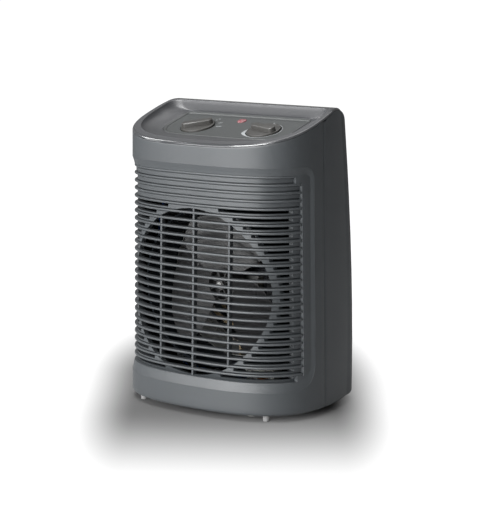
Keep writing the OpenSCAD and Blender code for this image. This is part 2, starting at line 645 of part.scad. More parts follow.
// Shaded-pole motor on the spider: laminations, coil, end brackets with bushes
stator_y = [8, 26];
stator_w = 58;
stator_z = [-21, 31];
rotor_bore = 13;
module motor_stator() color([0.45, 0.45, 0.47]) difference() {
    translate([-stator_w / 2, stator_y[0], fan_z + stator_z[0]])
        cube([stator_w, stator_y[1] - stator_y[0], stator_z[1] - stator_z[0]]);
    along_y(0, fan_z, 0, 60, rotor_bore);
    for (s = [-1, 1]) translate([s * 18.5 - 6.5, 0, fan_z + 15]) cube([13, 60, 10]);
    for (s = [-1, 1]) along_y(s * motor_bolt_x, fan_z, 0, 60, 1.8);
}
module motor_coil() color([0.72, 0.42, 0.2]) difference() {
    translate([-24, stator_y[0] - 7, fan_z + 15.3]) cube([48, stator_y[1] - stator_y[0] + 14, 9.4]);
    translate([-12.2, stator_y[0] - 0.2, fan_z + 14]) cube([24.4, stator_y[1] - stator_y[0] + 0.4, 12]);
}
bracket_t = 2;
bush_r = 5;
module bracket(y0, y1) difference() {
    union() {
        translate([-26, y0, fan_z - 7]) cube([52, bracket_t, 14]);
        for (s = [-1, 1]) translate([s * 22.5 - 3.5, y0, fan_z - 7]) cube([7, y1 - y0, 14]);
        along_y(0, fan_z, y0, y0 + bracket_t, 9);
    }
    along_y(0, fan_z, y0 - 1, y0 + 8, bush_r);
    for (s = [-1, 1]) along_y(s * motor_bolt_x, fan_z, y0 - 1, y1 + 1, 1.8);
}
module motor_bracket_front() color(steel) bracket(-2, stator_y[0]);
module motor_bracket_rear() color(steel) mirror([0, 1, 0]) bracket(-spider_y, -stator_y[1]);
module bush(y0, y1) difference() {
    along_y(0, fan_z, y0, y1, bush_r);
    along_y(0, fan_z, y0 - 1, y1 + 1, shaft_r + 0.05);
}
module motor_bush_front() color([0.75, 0.6, 0.3]) bush(-3.5, 3);
module motor_bush_rear() color([0.75, 0.6, 0.3]) bush(spider_y - 5, spider_y + 1.5);
module motor_bolts() color(steel) for (s = [-1, 1]) {
    along_y(s * motor_bolt_x, fan_z, -4.4, spider_y + spider_t, 1.7);
    along_y(s * motor_bolt_x, fan_z, -4.4, -2, 3.2);
    translate([s * motor_bolt_x, spider_y + spider_t, fan_z]) rotate([-90, 0, 0]) cylinder(h = 2.6, r = 3.4, $fn = 6);
}

// Everything that spins
shaft_y = [-30, 41];
hub_y = [-27, -9];
hub_r = 16;
module motor_shaft() color(steel) along_y(0, fan_z, shaft_y[0], shaft_y[1], shaft_r);
module motor_rotor() color([0.6, 0.6, 0.62]) difference() {
    union() {
        along_y(0, fan_z, stator_y[0] + 0.5, stator_y[1] - 0.5, rotor_bore - 0.5);
        along_y(0, fan_z, stator_y[0] - 2.5, stator_y[1] + 2.5, rotor_bore - 2);
    }
    along_y(0, fan_z, 0, 60, shaft_r);
}
blade_y = -24;
blade_span = 92;                 // angle that a blade covers
blade_t = 1.8;
first_blade_a = 80;
module blade() intersection() {
    translate([0, blade_y, fan_z]) rotate([blade_pitch, 0, 0]) rotate([90, 0, 0])
        linear_extrude(height = blade_t, center = true) intersection() {
            circle(r = fan_r + 6);
            polygon(concat([[4, 0]], [for (k = [-4:4]) let (a = k * blade_span / 8)
                100 * [cos(a), sin(a)]]));
        }
    along_y(0, fan_z, -60, 0, fan_r);
}
module fan_impeller() color(blade_grey) difference() {
    union() {
        along_y(0, fan_z, hub_y[0], hub_y[1], hub_r);
        for (k = [0:blade_count - 1]) rotate_about_axis(-first_blade_a - k * 360 / blade_count) blade();
    }
    along_y(0, fan_z, -60, 0, shaft_r);
    ring_y(fan_z, hub_y[0] - 1, hub_y[0] + 8, hub_r - 2, shaft_r + 3);
}
module impeller_nut() color(steel) difference() {
    translate([0, hub_y[0] - 2, fan_z]) rotate([-90, 0, 0]) cylinder(h = 2, r = 4.6, $fn = 6);
    along_y(0, fan_z, -60, 0, shaft_r);
}

// Cord inlet, clamp and terminals, low down at the back
module cord_bush() color([0.1, 0.1, 0.11]) difference() {
    union() {
        along_y(cord_x, cord_z, 61, rear_y(cord_z) + 0.6, cord_bush_r);
        along_y(cord_x, cord_z, 59, 62, cord_bush_r + 1.8);
    }
    along_y(cord_x, cord_z, 50, 90, 3.6);
}
block_size = [34, 14, 13];
block_at = [-17, 38, plate_low_z + plate_t];
pole_gap = 11;
pole_z = block_at[2] + 6;
module terminal_block() color([0.9, 0.9, 0.86]) difference() {
    translate(block_at) cube(block_size);
    for (k = [-1:1]) {
        along_y(k * pole_gap, pole_z, 30, 60, 2);
        for (y = [42, 48]) translate([k * pole_gap, y, pole_z + 2]) cylinder(h = 9, r = 1.8);
    }
}

// Fasteners
module screw_y(x, z, head, tip, r) {
    along_y(x, z, tip, head, r);
    along_y(x, z, head, head + 2.4, 2.2 * r);
}
module casing_screws() color(steel) both_sides() for (z = casing_screw_z)
    screw_y(casing_screw_x, z, screw_head_y, front_boss_y + 4, 1.5);
module base_screws() color(steel) both_sides() for (y = base_screw_y)
    translate([base_screw_x, y, 0]) {
        translate([0, 0, plate_low_z - 2]) cylinder(h = 2, r = 3.2);
        translate([0, 0, plate_low_z - 0.5]) cylinder(h = 12, r = 1.5);
    }
module duct_screws() color(steel) both_sides() for (z = [fan_z - duct_lug, fan_z + duct_lug]) {
    along_y(duct_lug, z, duct_back_y - flange_t, duct_back_y + 12, 1.5);
    along_y(duct_lug, z, duct_back_y - flange_t - 2.4, duct_back_y - flange_t, 3.3);
}
module spider_screws() color(steel) for (a = [0:90:270]) rotate_about_axis(a) {
    along_y(spider_screw_r, fan_z, duct_back_y - flange_t - 1, spider_y + spider_t, 1.3);
    along_y(spider_screw_r, fan_z, spider_y + spider_t, spider_y + spider_t + 2, 2.8);
}

// Internal wiring: a round tube swept along a smooth line through its points
wire_sides = 6;
wire_r = 1.3;
wire_steps = 4;
function along(p, i, t) = let (n = len(p) - 1, a = p[max(i - 1, 0)], b = p[i], c = p[min(i + 1, n)],
    d = p[min(i + 2, n)]) 0.5 * (2 * b + (c - a) * t + (2 * a - 5 * b + 4 * c - d) * t * t
    + (3 * b - a - 3 * c + d) * t * t * t);
function unit(v) = v / norm(v);
function tube_ring(p, dir, r) = let (u = unit(cross(dir, abs(dir[1]) > 0.9 ? [1, 0, 0] : [0, 1, 0])),
    v = cross(dir, u)) [for (k = [0:wire_sides - 1]) let (a = 360 * k / wire_sides)
    p + r * (cos(a) * u + sin(a) * v)];
module wire(points) {
    path = concat([for (i = [0:len(points) - 2]) for (s = [0:wire_steps - 1])
        along(points, i, s / wire_steps)], [points[len(points) - 1]]);
    m = len(path);
    n = wire_sides;
    rings = [for (i = [0:m - 1]) tube_ring(path[i],
        unit(path[min(i + 1, m - 1)] - path[max(i - 1, 0)]), wire_r)];
    sides = flat_list([for (k = [0:m - 2]) for (i = [0:n - 1]) let (j = (i + 1) % n)
        quad(k * n + i, (k + 1) * n + i, (k + 1) * n + j, k * n + j)]);
    polyhedron(points = flat_list(rings), faces = concat(sides,
        [[for (i = [0:n - 1]) i]], [[for (i = [n - 1:-1:0]) (m - 1) * n + i]]));
}
tab_x = 17.6;                    // the switches' tabs, from their spindles
tab_v = 8;
wire_gap = 0.1 + wire_r;
function tab(x, v) = let (w = switch_top - switch_h - 7) [x,
    knob_y + v * cos(fascia_slope) - w * sin(fascia_slope),
    fascia_z + v * sin(fascia_slope) + w * cos(fascia_slope) - wire_gap];
function pole(k) = [k * pole_gap, block_at[1] - wire_gap, pole_z];
side_route = 88;                 // wires pass the duct this far from the middle
module wire_live() color([0.45, 0.25, 0.12]) wire([pole(1), [11, 22, 16], [62, 14, 20], [80, 14, 28], [side_route, 8, 60],
    [side_route, -8, 117], [side_route, -8, 170], [72, -12, 208], [60, -14, 220], tab(knob_x + tab_x, -tab_v)]);
module wire_neutral() color([0.2, 0.3, 0.6]) wire([pole(-1), [-11, 22, 16], [-62, 14, 20],
    [-80, 14, 28], [-side_route, 8, 60], [-side_route, -8, 117], [-side_route, -8, 170], [-72, -12, 208], [-60, -14, 220],
    tab(-knob_x - tab_x, -tab_v)]);
module wire_link() color([0.2, 0.2, 0.2])
    wire([tab(-knob_x + tab_x, -tab_v), [-19, -13, 222], [0, -11, 216], [19, -13, 222], tab(knob_x - tab_x, -tab_v)]);
behind_y = 46;                   // wires pass behind the motor's spider here
module wire_motor() color([0.85, 0.85, 0.85]) wire([tab(-knob_x + tab_x, tab_v), [-20, 10, 220],
    [-19, 36, 214], [-18, behind_y, 200], [-18, behind_y, 160], [-18, 44, 145],
    [-18, stator_y[1] + 7 + wire_gap, fan_z + 20]]);
module wire_heater() color([0.8, 0.2, 0.2]) wire([tab(knob_x - tab_x, tab_v), [20, 10, 220],
    [17, 36, 214], [14, behind_y, 200], [14, behind_y, 182], [14, 38, 170],
    [14, coil_y + coil_r + wire_gap, fan_z + 50]]);

front_shell();
rear_shell();
front_grille();
top_panel();
base_plate();
control_fascia();
pilot_lens();
pilot_lamp();
selector_switch();
thermostat_body();
control_screws();
function_knob();
function_spindle();
thermostat_knob();
thermostat_spindle();
foot_front_left();
foot_front_right();
foot_rear_left();
foot_rear_right();
fan_duct();
motor_spider();
heater_ring();
mica_frame();
heating_coil_inner();
heating_coil_outer();
thermal_cutout();
thermal_fuse();
motor_stator();
motor_coil();
motor_bracket_front();
motor_bracket_rear();
motor_bush_front();
motor_bush_rear();
motor_bolts();
fan_impeller();
impeller_nut();
motor_shaft();
motor_rotor();
cord_bush();
terminal_block();
casing_screws();
base_screws();
duct_screws();
spider_screws();
wire_live();
wire_neutral();
wire_link();
wire_motor();
wire_heater();
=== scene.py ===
import math

import bmesh
import bpy
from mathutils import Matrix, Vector


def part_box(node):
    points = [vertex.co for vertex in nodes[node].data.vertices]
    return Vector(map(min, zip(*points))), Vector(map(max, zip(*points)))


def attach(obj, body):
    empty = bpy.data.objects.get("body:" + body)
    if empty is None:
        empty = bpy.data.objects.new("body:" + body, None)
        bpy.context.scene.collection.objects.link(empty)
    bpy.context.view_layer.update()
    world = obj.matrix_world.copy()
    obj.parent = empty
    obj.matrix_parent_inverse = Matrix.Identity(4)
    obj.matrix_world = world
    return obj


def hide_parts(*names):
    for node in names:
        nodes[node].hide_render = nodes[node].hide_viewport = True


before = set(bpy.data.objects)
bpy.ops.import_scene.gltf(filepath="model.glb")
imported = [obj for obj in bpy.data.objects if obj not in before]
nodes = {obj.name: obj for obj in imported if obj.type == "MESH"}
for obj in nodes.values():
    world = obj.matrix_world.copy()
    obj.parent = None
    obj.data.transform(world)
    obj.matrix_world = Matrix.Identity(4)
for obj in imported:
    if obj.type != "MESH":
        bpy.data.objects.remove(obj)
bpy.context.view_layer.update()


# ---- Camera, floor and lights
# The heater stands on a white floor with a painted shadow round its base. A wide soft lamp at its front left
# lights the louvres, weaker ones fill in from the sides, above and behind, and two lamps that show only as
# gloss draw the bright line along the rim.
def aim(thing, eye, target):
    thing.location = eye
    thing.rotation_mode = "QUATERNION"
    thing.rotation_quaternion = (Vector(target) - Vector(eye)).to_track_quat("-Z", "Y")
    bpy.context.scene.collection.objects.link(thing)


def around(target, azimuth, elevation, distance):
    a, e = math.radians(azimuth), math.radians(elevation)
    back = Vector((math.sin(a) * math.cos(e), -math.cos(a) * math.cos(e), math.sin(e)))
    return Vector(target) + back * distance


look_at, view_azimuth = (0.0544, -0.0722, 0.1565), 35.45
camera = bpy.data.objects.new("camera", bpy.data.cameras.new("camera"))
camera.data.lens = 128.33
camera.data.sensor_width = 36
camera.data.clip_end = 100
aim(camera, around(look_at, view_azimuth, 9.81, 1.6706), look_at)
bpy.context.scene.camera = camera
bpy.context.scene.view_settings.view_transform = "Standard"


def soft_lamp(name, azimuth, elevation, distance, size, strength, only_gloss=False):
    """A flat lamp that faces the heater's middle."""
    lamp = bpy.data.lights.new(name, "AREA")
    lamp.shape = "RECTANGLE"
    lamp.size, lamp.size_y = size
    lamp.energy = strength
    thing = bpy.data.objects.new(name, lamp)
    middle = (0, 0, 0.15)
    aim(thing, around(middle, azimuth, elevation, distance), middle)
    thing.visible_diffuse = not only_gloss


soft_lamp("key_lamp", -13, 12, 2.0, (1.9, 0.7), 48)
soft_lamp("left_lamp", -58, 14, 2.0, (0.6, 0.7), 6)
soft_lamp("top_lamp", 0, 68, 2.0, (0.7, 0.7), 15)
soft_lamp("right_lamp", 30, 24, 2.0, (0.6, 0.6), 4)
soft_lamp("rim_lamp", -4, 44, 1.9, (1.2, 0.6), 85, only_gloss=True)
soft_lamp("low_lamp", 2, -12, 0.56, (0.5, 0.06), 0.8)
soft_lamp("edge_lamp_left", -76, 40, 1.9, (0.3, 0.8), 16, only_gloss=True)
soft_lamp("back_lamp", 208, 68, 1.7, (0.9, 1.1), 9)


def feed(tree, value, socket):
    """Sets a socket from another node's output or from a plain value."""
    if isinstance(value, bpy.types.NodeSocket):
        tree.links.new(value, socket)
    else:
        socket.default_value = value


def step(tree, kind, operation, *values):
    """The result of a Math or VectorMath node."""
    node = tree.nodes.new("ShaderNode" + kind)
    node.operation = operation
    for value, socket in zip(values, node.inputs):
        feed(tree, value, socket)
    return node.outputs["Value" if operation in ("LENGTH", "DOT_PRODUCT") else 0]


def ramp(tree, source, low, high, start=0.3, end=0.7):
    """Maps a value from the range start to end, which suits a noise, to the range low to high."""
    node = tree.nodes.new("ShaderNodeMapRange")
    for label, value in (("Value", source), ("From Min", start), ("From Max", end),
                         ("To Min", low), ("To Max", high)):
        feed(tree, value, node.inputs[label])
    return node.outputs[0]


def blend(tree, factor, a, b):
    """A mix of two colours."""
    node = tree.nodes.new("ShaderNodeMix")
    node.data_type = "RGBA"
    for label, value in (("Factor", factor), ("A", a), ("B", b)):
        feed(tree, value, node.inputs[label])
    return node.outputs["Result"]


def camera_ray(tree):
    """1 where the camera looks straight at the background."""
    return tree.nodes.new("ShaderNodeLightPath").outputs["Is Camera Ray"]


ambient, backdrop = 0.24, 1.0
world = bpy.data.worlds.new("studio")
world.use_nodes = True
bpy.context.scene.world = world
sky = world.node_tree
sky.nodes["Background"].inputs["Color"].default_value = (1, 1, 1, 1)
feed(sky, ramp(sky, camera_ray(sky), ambient, backdrop, 0, 1), sky.nodes["Background"].inputs["Strength"])

floor_reach = 40
floor_mesh = bpy.data.meshes.new("floor")
floor_corners = [(x * floor_reach, y * floor_reach, 0) for x, y in ((-1, -1), (1, -1), (1, 1), (-1, 1))]
floor_mesh.from_pydata(floor_corners, [], [(0, 1, 2, 3)])
floor = bpy.data.objects.new("floor", floor_mesh)
bpy.context.scene.collection.objects.link(floor)

# Painted shadow: an emission that only the camera sees lightens the floor to pure white a hand's width from
# the heater, and further out in front of it, while nearer in the floor shows its grey with the lamps' real
# shadows, so a dark pool is painted round the base.
painted_shadow_middle, painted_shadow_half, painted_shadow_stretch, painted_shadow_reach = (-0.020, 0.022, 0), (0.093, 0.0165, 0), 4.2, 0.074
lit_grey, seen_grey = (0.50, 0.50, 0.50, 1), (0.19, 0.19, 0.19, 1)
floor_look = bpy.data.materials.new("floor_with_painted_shadow")
floor_look.use_nodes = True
tree = floor_look.node_tree
paint = tree.nodes["Principled BSDF"]
paint.inputs["Roughness"].default_value = 0.9
paint.inputs["Specular IOR Level"].default_value = 0.0
paint.inputs["Emission Color"].default_value = (1, 1, 1, 1)
feed(tree, blend(tree, camera_ray(tree), lit_grey, seen_grey), paint.inputs["Base Color"])
squeeze = tree.nodes.new("ShaderNodeMapping")
squeeze.vector_type = "TEXTURE"
squeeze.inputs["Location"].default_value = painted_shadow_middle
squeeze.inputs["Rotation"].default_value = (0, 0, math.radians(view_azimuth))
squeeze.inputs["Scale"].default_value = (1, painted_shadow_stretch, 1)
feed(tree, tree.nodes.new("ShaderNodeNewGeometry").outputs["Position"], squeeze.inputs["Vector"])
past = step(tree, "VectorMath", "ABSOLUTE", squeeze.outputs[0])
past = step(tree, "VectorMath", "SUBTRACT", past, painted_shadow_half)
past = step(tree, "VectorMath", "MAXIMUM", past, (0, 0, 0))
outside_painted_shadow = ramp(tree, step(tree, "VectorMath", "LENGTH", past), 0, 1, 0, painted_shadow_reach)
outside_painted_shadow.node.interpolation_type = "SMOOTHSTEP"
# Painted shadow: no emission round the heater's foot and full emission beyond it, for camera rays only.
feed(tree, step(tree, "Math", "MULTIPLY", outside_painted_shadow, camera_ray(tree)), paint.inputs["Emission Strength"])
floor.data.materials.append(floor_look)


# ---- Rear shell
# The deep rear half of the casing, injection moulded in charcoal plastic with a fine spark
# texture. It tapers towards the back, carries the intake slots and the finger recess, and takes
# the four long screws that hold the front on.
MM = 0.001


def box_mm(node):
    low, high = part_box(node)
    return low / MM, high / MM


shell_low, shell_high = box_mm("rear_shell")
front_low = box_mm("front_shell")[0]
casing_low_z, casing_top_z = shell_low.z + 3, 254
casing_half_w = shell_high.x
side_draft, front_lean, back_lean = 4, 5, 14.8
casing_half_d = -front_low.y
part_y = -3                     # plane where the two shells meet
wall = 2.4
taper_run = 74
lower_round = [(0, 2.6), (0.25, 1.75), (0.7, 1.05), (1.5, 0.4), (2.3, 0.08), (3, 0)]
edge_round = 0.5                # rounding of the shells' edges along their seams


def rise(z):
    """How far up the casing z is, from 0 to 1."""
    return (z - casing_low_z) / (casing_top_z - casing_low_z)


def mix(a, b, t):
    return a + (b - a) * t


def half_w(z):
    return casing_half_w - side_draft * rise(z)


def front_y(z):
    return -casing_half_d + front_lean * rise(z)


def rear_y(z):
    return casing_half_d - back_lean * rise(z)


def bow(z):
    """Exponent of the front's rounding: 2 would be an ellipse."""
    return mix(2.64, 2.98, rise(z))


def taper(z):
    """How far each side draws in over taper_run, towards the back."""
    t = rise(z)
    return mix(16.3, 20.4, t) - 28 * t * (1 - t)


def corner_r(z):
    return mix(29, 20, rise(z))


def casing_point(station, z, inset=0.0):
    """A point of the casing's outline at height z, for a station (side, stretch, place along it)."""
    side, stretch, t = station
    w, yr = half_w(z) - inset, rear_y(z) - inset
    r = corner_r(z) - inset / 2
    side_end = yr - r
    if stretch == "bow":
        a = t * math.pi / 2
        x = w * math.sin(a) ** (2 / bow(z))
        y = part_y - (part_y - front_y(z) - inset) * math.cos(a) ** (2 / bow(z))
    elif stretch == "side":
        y = mix(part_y, side_end, t)
        x = w - taper(z) * ((y - part_y) / taper_run) ** 2
    else:
        x_end = w - taper(z) * ((side_end - part_y) / taper_run) ** 2
        a = t * math.pi / 2
        x, y = x_end - r + r * math.cos(a), side_end + r * math.sin(a)
        if stretch == "back":
            x, y = mix(x_end - r, 0, t), yr
    return Vector((side * x, y, z))


def span(stretch, steps, first=0.0, last=1.0):
    return [(stretch, mix(first, last, k / steps)) for k in range(steps + 1)]


bow_half = [("bow", (k / 44) ** 0.9) for k in range(45)]
rear_half = span("side", 14)[1:] + span("corner", 12)[1:] + span("back", 5)[1:]

# The top slopes up to the back and rounds over into it, seen from the side.
front_h, top_slope, back_round_r, panel_lip, back_skirt = 258, math.radians(17.4), 36, 2.1, 1
rim_slope, back_slope = math.tan(top_slope), back_lean / (casing_top_z - casing_low_z)
front_reach = 70.2              # the roof has the height front_h this far in front of the middle
plane_z0 = front_h + rim_slope * front_reach
round_z = (plane_z0 - back_round_r / math.cos(top_slope) + rim_slope
           * (casing_half_d + back_slope * casing_low_z
              - back_round_r * math.hypot(1, back_slope))) / (1 + rim_slope * back_slope)
round_y = (round_z - plane_z0 + back_round_r / math.cos(top_slope)) / rim_slope


def roof(y, drop=0.0):
    """Height of the sloping top, or of the surface that lies drop below it."""
    r, t = back_round_r - drop, y - round_y
    if t < -r * math.sin(top_slope):
        return plane_z0 + rim_slope * y - drop / math.cos(top_slope)
    return round_z + math.sqrt(max(r * r - t * t, 0))


def seam(y):
    """Height where the shells end and the top panel begins."""
    past = y - round_y - back_round_r + panel_lip
    if past > 0:
        return round_z - back_skirt * min(1, past / 2)
    return roof(y, panel_lip)


def shell_levels(station, top_gap=0.1):
    """(height, inset) up the outer skin at a station, from the rounded foot to the rounded top."""
    top = seam(casing_point(station, casing_top_z).y) - top_gap
    body = [casing_low_z + 4, 28, 60, 95, 130, 165, 200, 230]
    low = [(shell_low.z + rise_mm, inset) for rise_mm, inset in lower_round]
    shape = [(min(z, top - 3), 0) for z in body] + [(top - 1.5, 0), (top - edge_round, 0)]
    return low + shape + [(top - 0.15, 0.15), (top, edge_round)]


def shell_wall(stations):
    """Matching outer and inner grids of a shell's wall."""
    outer, inner = [], []
    for station, extra, shift in stations:
        levels = shell_levels(station)
        outer.append([casing_point(station, z, inset + extra) + Vector((0, shift, 0))
                      for z, inset in levels])
        inner.append([casing_point(station, z, wall + min(inset, edge_inset_in)) + Vector((0, shift, 0))
                      for z, inset in levels])
    return outer, inner


edge_inset_in = 1.2             # the inner skin follows only part of the foot's rounding


def wall_faces(outer, inner):
    """A closed wall between two open grids of points, as vertices and quads that face outwards."""
    n, m = len(outer), len(outer[0])
    verts = [p for column in outer + inner for p in column]
    b, e = n * m, (n - 1) * m
    faces = []
    for i in range(n - 1):
        for j in range(m - 1):
            p = i * m + j
            faces.append((p, p + m, p + m + 1, p + 1))
            faces.append((b + p, b + p + 1, b + p + m + 1, b + p + m))
        p, q = i * m, i * m + m - 1
        faces.append((p, b + p, b + p + m, p + m))
        faces.append((q, q + m, b + q + m, b + q))
    for j in range(m - 1):
        faces.append((j, j + 1, b + j + 1, b + j))
        faces.append((e + j, b + e + j, b + e + j + 1, e + j + 1))
    return verts, faces


def piece(name, verts, faces, sharp=32):
    """A smooth-shaded mesh object from points in millimetres; edges steeper than sharp stay sharp."""
    mesh = bpy.data.meshes.new(name)
    mesh.from_pydata([tuple(c * MM for c in v) for v in verts], [], faces)
    thing = bpy.data.objects.new(name, mesh)
    bpy.context.scene.collection.objects.link(thing)
    smooth(thing, sharp)
    return thing


def smooth(thing, sharp=32):
    shape = bmesh.new()
    shape.from_mesh(thing.data)
    bmesh.ops.recalc_face_normals(shape, faces=shape.faces)
    for edge in shape.edges:
        steep = len(edge.link_faces) == 2 and edge.calc_face_angle() > math.radians(sharp)
        edge.smooth = not steep
    for face in shape.faces:
        face.smooth = True
    shape.to_mesh(thing.data)
    shape.free()


def drop(thing):
    spare = thing.data
    bpy.data.objects.remove(thing)
    bpy.data.meshes.remove(spare)


def combine(thing, tool, operation):
    """Cuts, adds or intersects tool with thing, applies the result and drops the tool."""
    change = thing.modifiers.new("combine", "BOOLEAN")
    change.operation, change.object, change.solver = operation, tool, "EXACT"
    drawn = thing.evaluated_get(bpy.context.evaluated_depsgraph_get())
    result = bpy.data.meshes.new_from_object(drawn)
    thing.modifiers.clear()
    old, thing.data = thing.data, result
    result.name = thing.name
    bpy.data.meshes.remove(old)
    drop(tool)
    smooth(thing)


def loft(name, rings, closed=False, sharp=32):
    """A skin through rings of equally many points; closed joins the last ring to the first."""
    n, rows = len(rings[0]), len(rings)
    faces = [(k * n + i, k * n + (i + 1) % n, (k + 1) % rows * n + (i + 1) % n, (k + 1) % rows * n + i)
             for k in range(rows if closed else rows - 1) for i in range(n)]
    if not closed:
        faces += [tuple(reversed(range(n))), tuple(range((rows - 1) * n, rows * n))]
    return piece(name, [p for ring in rings for p in ring], faces, sharp)


def prism(name, outline, low, high, axis="y"):
    """An outline in the plane across an axis, drawn out along it from low to high."""
    return loft(name, [[{"x": (w, u, v), "y": (u, w, v)}[axis] for u, v in outline] for w in (low, high)])


def rounded_box(x1, x2, z1, z2, r, steps=5):
    """Outline of a rectangle with round corners."""
    corners = [(x2 - r, z2 - r, 0), (x1 + r, z2 - r, 90), (x1 + r, z1 + r, 180), (x2 - r, z1 + r, 270)]
    return [(x + r * math.cos(math.radians(a + 90 * k / steps)),
             z + r * math.sin(math.radians(a + 90 * k / steps)))
            for x, z, a in corners for k in range(steps + 1)]


def joined(things, name):
    """Several pieces made into one mesh."""
    shape = bmesh.new()
    for thing in things:
        shape.from_mesh(thing.data)
    mesh = bpy.data.meshes.new(name)
    shape.to_mesh(mesh)
    shape.free()
    for thing in things:
        drop(thing)
    whole = bpy.data.objects.new(name, mesh)
    bpy.context.scene.collection.objects.link(whole)
    return whole


def lathe(name, profile, origin=(0, 0, 0), direction=(0, 1, 0), steps=48):
    """A profile of (distance along the axis, radius) turned about an axis through origin."""
    turn = Vector((0, 0, 1)).rotation_difference(Vector(direction)).to_matrix()
    closed = profile[0] == profile[-1]
    around_axis = [2 * math.pi * k / steps for k in range(steps)]
    rings = [[Vector(origin) + turn @ Vector((r * math.cos(a), r * math.sin(a), along)) for a in around_axis]
             for along, r in (profile[:-1] if closed else profile)]
    return loft(name, rings, closed)


def parting_edge(side, into, profile):
    """Stations that shape a shell's edge at the parting plane; into is +1 to the back."""
    at = (side, "side", 0.0) if into > 0 else (side, "bow", 1.0)
    return [(at, inset, into * depth) for depth, inset in profile]


rear_edge = [(0.1, 1.35), (0.25, 1.2), (2.7, 0.22), (3.4, 0.05), (4.2, 0)]
rear_stations = (parting_edge(1, 1, rear_edge) + [((1,) + s, 0, 0) for s in rear_half[1:]]
                 + [((-1,) + s, 0, 0) for s in reversed(rear_half[1:-1])]
                 + list(reversed(parting_edge(-1, 1, rear_edge))))
rear_shell = piece("rear_casing", *wall_faces(*shell_wall(rear_stations)))

fan_z = (box_mm("fan_duct")[0].z + box_mm("fan_duct")[1].z) / 2
intake_r, intake_pitch, intake_rows, slot_half_h = 66, 9, 14, 2.3
intake_bars = (-66, -33, 0, 33, 66)
slots = []
for row in range(intake_rows):
    z = fan_z + (row - (intake_rows - 1) / 2) * intake_pitch
    reach_x = math.sqrt(intake_r ** 2 - (z - fan_z) ** 2)
    for left, right in zip(intake_bars, intake_bars[1:]):
        x1, x2 = max(-reach_x, left + 1.5), min(reach_x, right - 1.5)
        if x2 - x1 > 2 * slot_half_h:
            outline = rounded_box(x1, x2, z - slot_half_h, z + slot_half_h, slot_half_h - 0.05)
            slots.append(prism("slot", outline, 50, 90))
combine(rear_shell, joined(slots, "slots"), "DIFFERENCE")

grip_x, grip_z, grip_y, grip_r = 46, (218, 240), 38, 5
cup = prism("cup", rounded_box(-grip_x - wall, grip_x + wall, grip_z[0] - wall, grip_z[1] + wall,
                               grip_r + wall), grip_y - wall, rear_y(grip_z[1]) - wall / 2)
combine(rear_shell, cup, "UNION")
cavity = prism("cavity", rounded_box(-grip_x, grip_x, *grip_z, grip_r), grip_y, 90)
combine(rear_shell, cavity, "DIFFERENCE")

screw_x, screw_z, screw_head_y = 66, (34, 232), 12
head_r, boss_r, shank_r = 3.9, 5.8, 2.1
bosses = []
for x in (-screw_x, screw_x):
    for z in screw_z:
        hole = lathe("hole", [(40, head_r), (90, head_r)], (x, 0, z))
        combine(rear_shell, hole, "DIFFERENCE")
        back = rear_y(z) - 0.6
        bosses.append(lathe("boss", [(part_y, shank_r), (part_y, boss_r), (back, boss_r), (back, head_r),
                                     (screw_head_y, head_r), (screw_head_y, shank_r),
                                     (part_y, shank_r)], (x, 0, z), steps=32))
cord_low, cord_high = box_mm("cord_bush")
cord_x, cord_z = (cord_low.x + cord_high.x) / 2, (cord_low.z + cord_high.z) / 2
combine(rear_shell, lathe("inlet", [(50, 6), (90, 6)], (cord_x, 0, cord_z)), "DIFFERENCE")
rear_shell = joined([rear_shell] + bosses, "rear_casing")
smooth(rear_shell)


def node_group(name, inputs):
    """A group of shader nodes with named sockets, and the sockets given to it."""
    group = bpy.data.node_groups.new(name, "ShaderNodeTree")
    for label, kind, value in inputs:
        socket = group.interface.new_socket(label, in_out="INPUT", socket_type="NodeSocket" + kind)
        socket.default_value = value
    for label, kind in (("Colour", "Color"), ("Roughness", "Float"), ("Height", "Float")):
        group.interface.new_socket(label, in_out="OUTPUT", socket_type="NodeSocket" + kind)
    return group, group.nodes.new("NodeGroupInput").outputs


def hand_out(group, *results):
    """Links a group's colour, roughness and height to its outputs."""
    for result, socket in zip(results, group.nodes.new("NodeGroupOutput").inputs):
        group.links.new(result, socket)


def own_place(tree):
    """The piece's own coordinates, so that a texture moves with the piece."""
    return tree.nodes.new("ShaderNodeTexCoord").outputs["Object"]


def noise(tree, scale, detail=2.0, at=None):
    cloud = tree.nodes.new("ShaderNodeTexNoise")
    for label, value in (("Vector", at or own_place(tree)), ("Scale", scale), ("Detail", detail)):
        feed(tree, value, cloud.inputs[label])
    return cloud.outputs["Fac"]


def shade(tree, colour, amount):
    """A colour made lighter or darker by a value near 1."""
    node = tree.nodes.new("ShaderNodeVectorMath")
    node.operation = "SCALE"
    feed(tree, colour, node.inputs[0])
    feed(tree, amount, node.inputs["Scale"])
    return node.outputs[0]


# Mould texture: fine spark-eroded grain, faint flow clouds and slight changes of gloss.
mould_texture, given = node_group(
    "mould_texture",
    [("Colour", "Color", (0.1, 0.1, 0.1, 1)), ("Grain scale", "Float", 1800.0),
     ("Gloss", "Float", 0.45), ("Cloud", "Float", 0.05)])
grain = noise(mould_texture, given["Grain scale"], 3.0)
cloud = ramp(mould_texture, noise(mould_texture, 22.0, 4.0), -1, 1)
lightness = step(mould_texture, "Math", "MULTIPLY_ADD", cloud, given["Cloud"], 1.0)
uneven_gloss = ramp(mould_texture, grain, -0.06, 0.06)
hand_out(mould_texture, shade(mould_texture, given["Colour"], lightness),
         step(mould_texture, "Math", "ADD", given["Gloss"], uneven_gloss), grain)


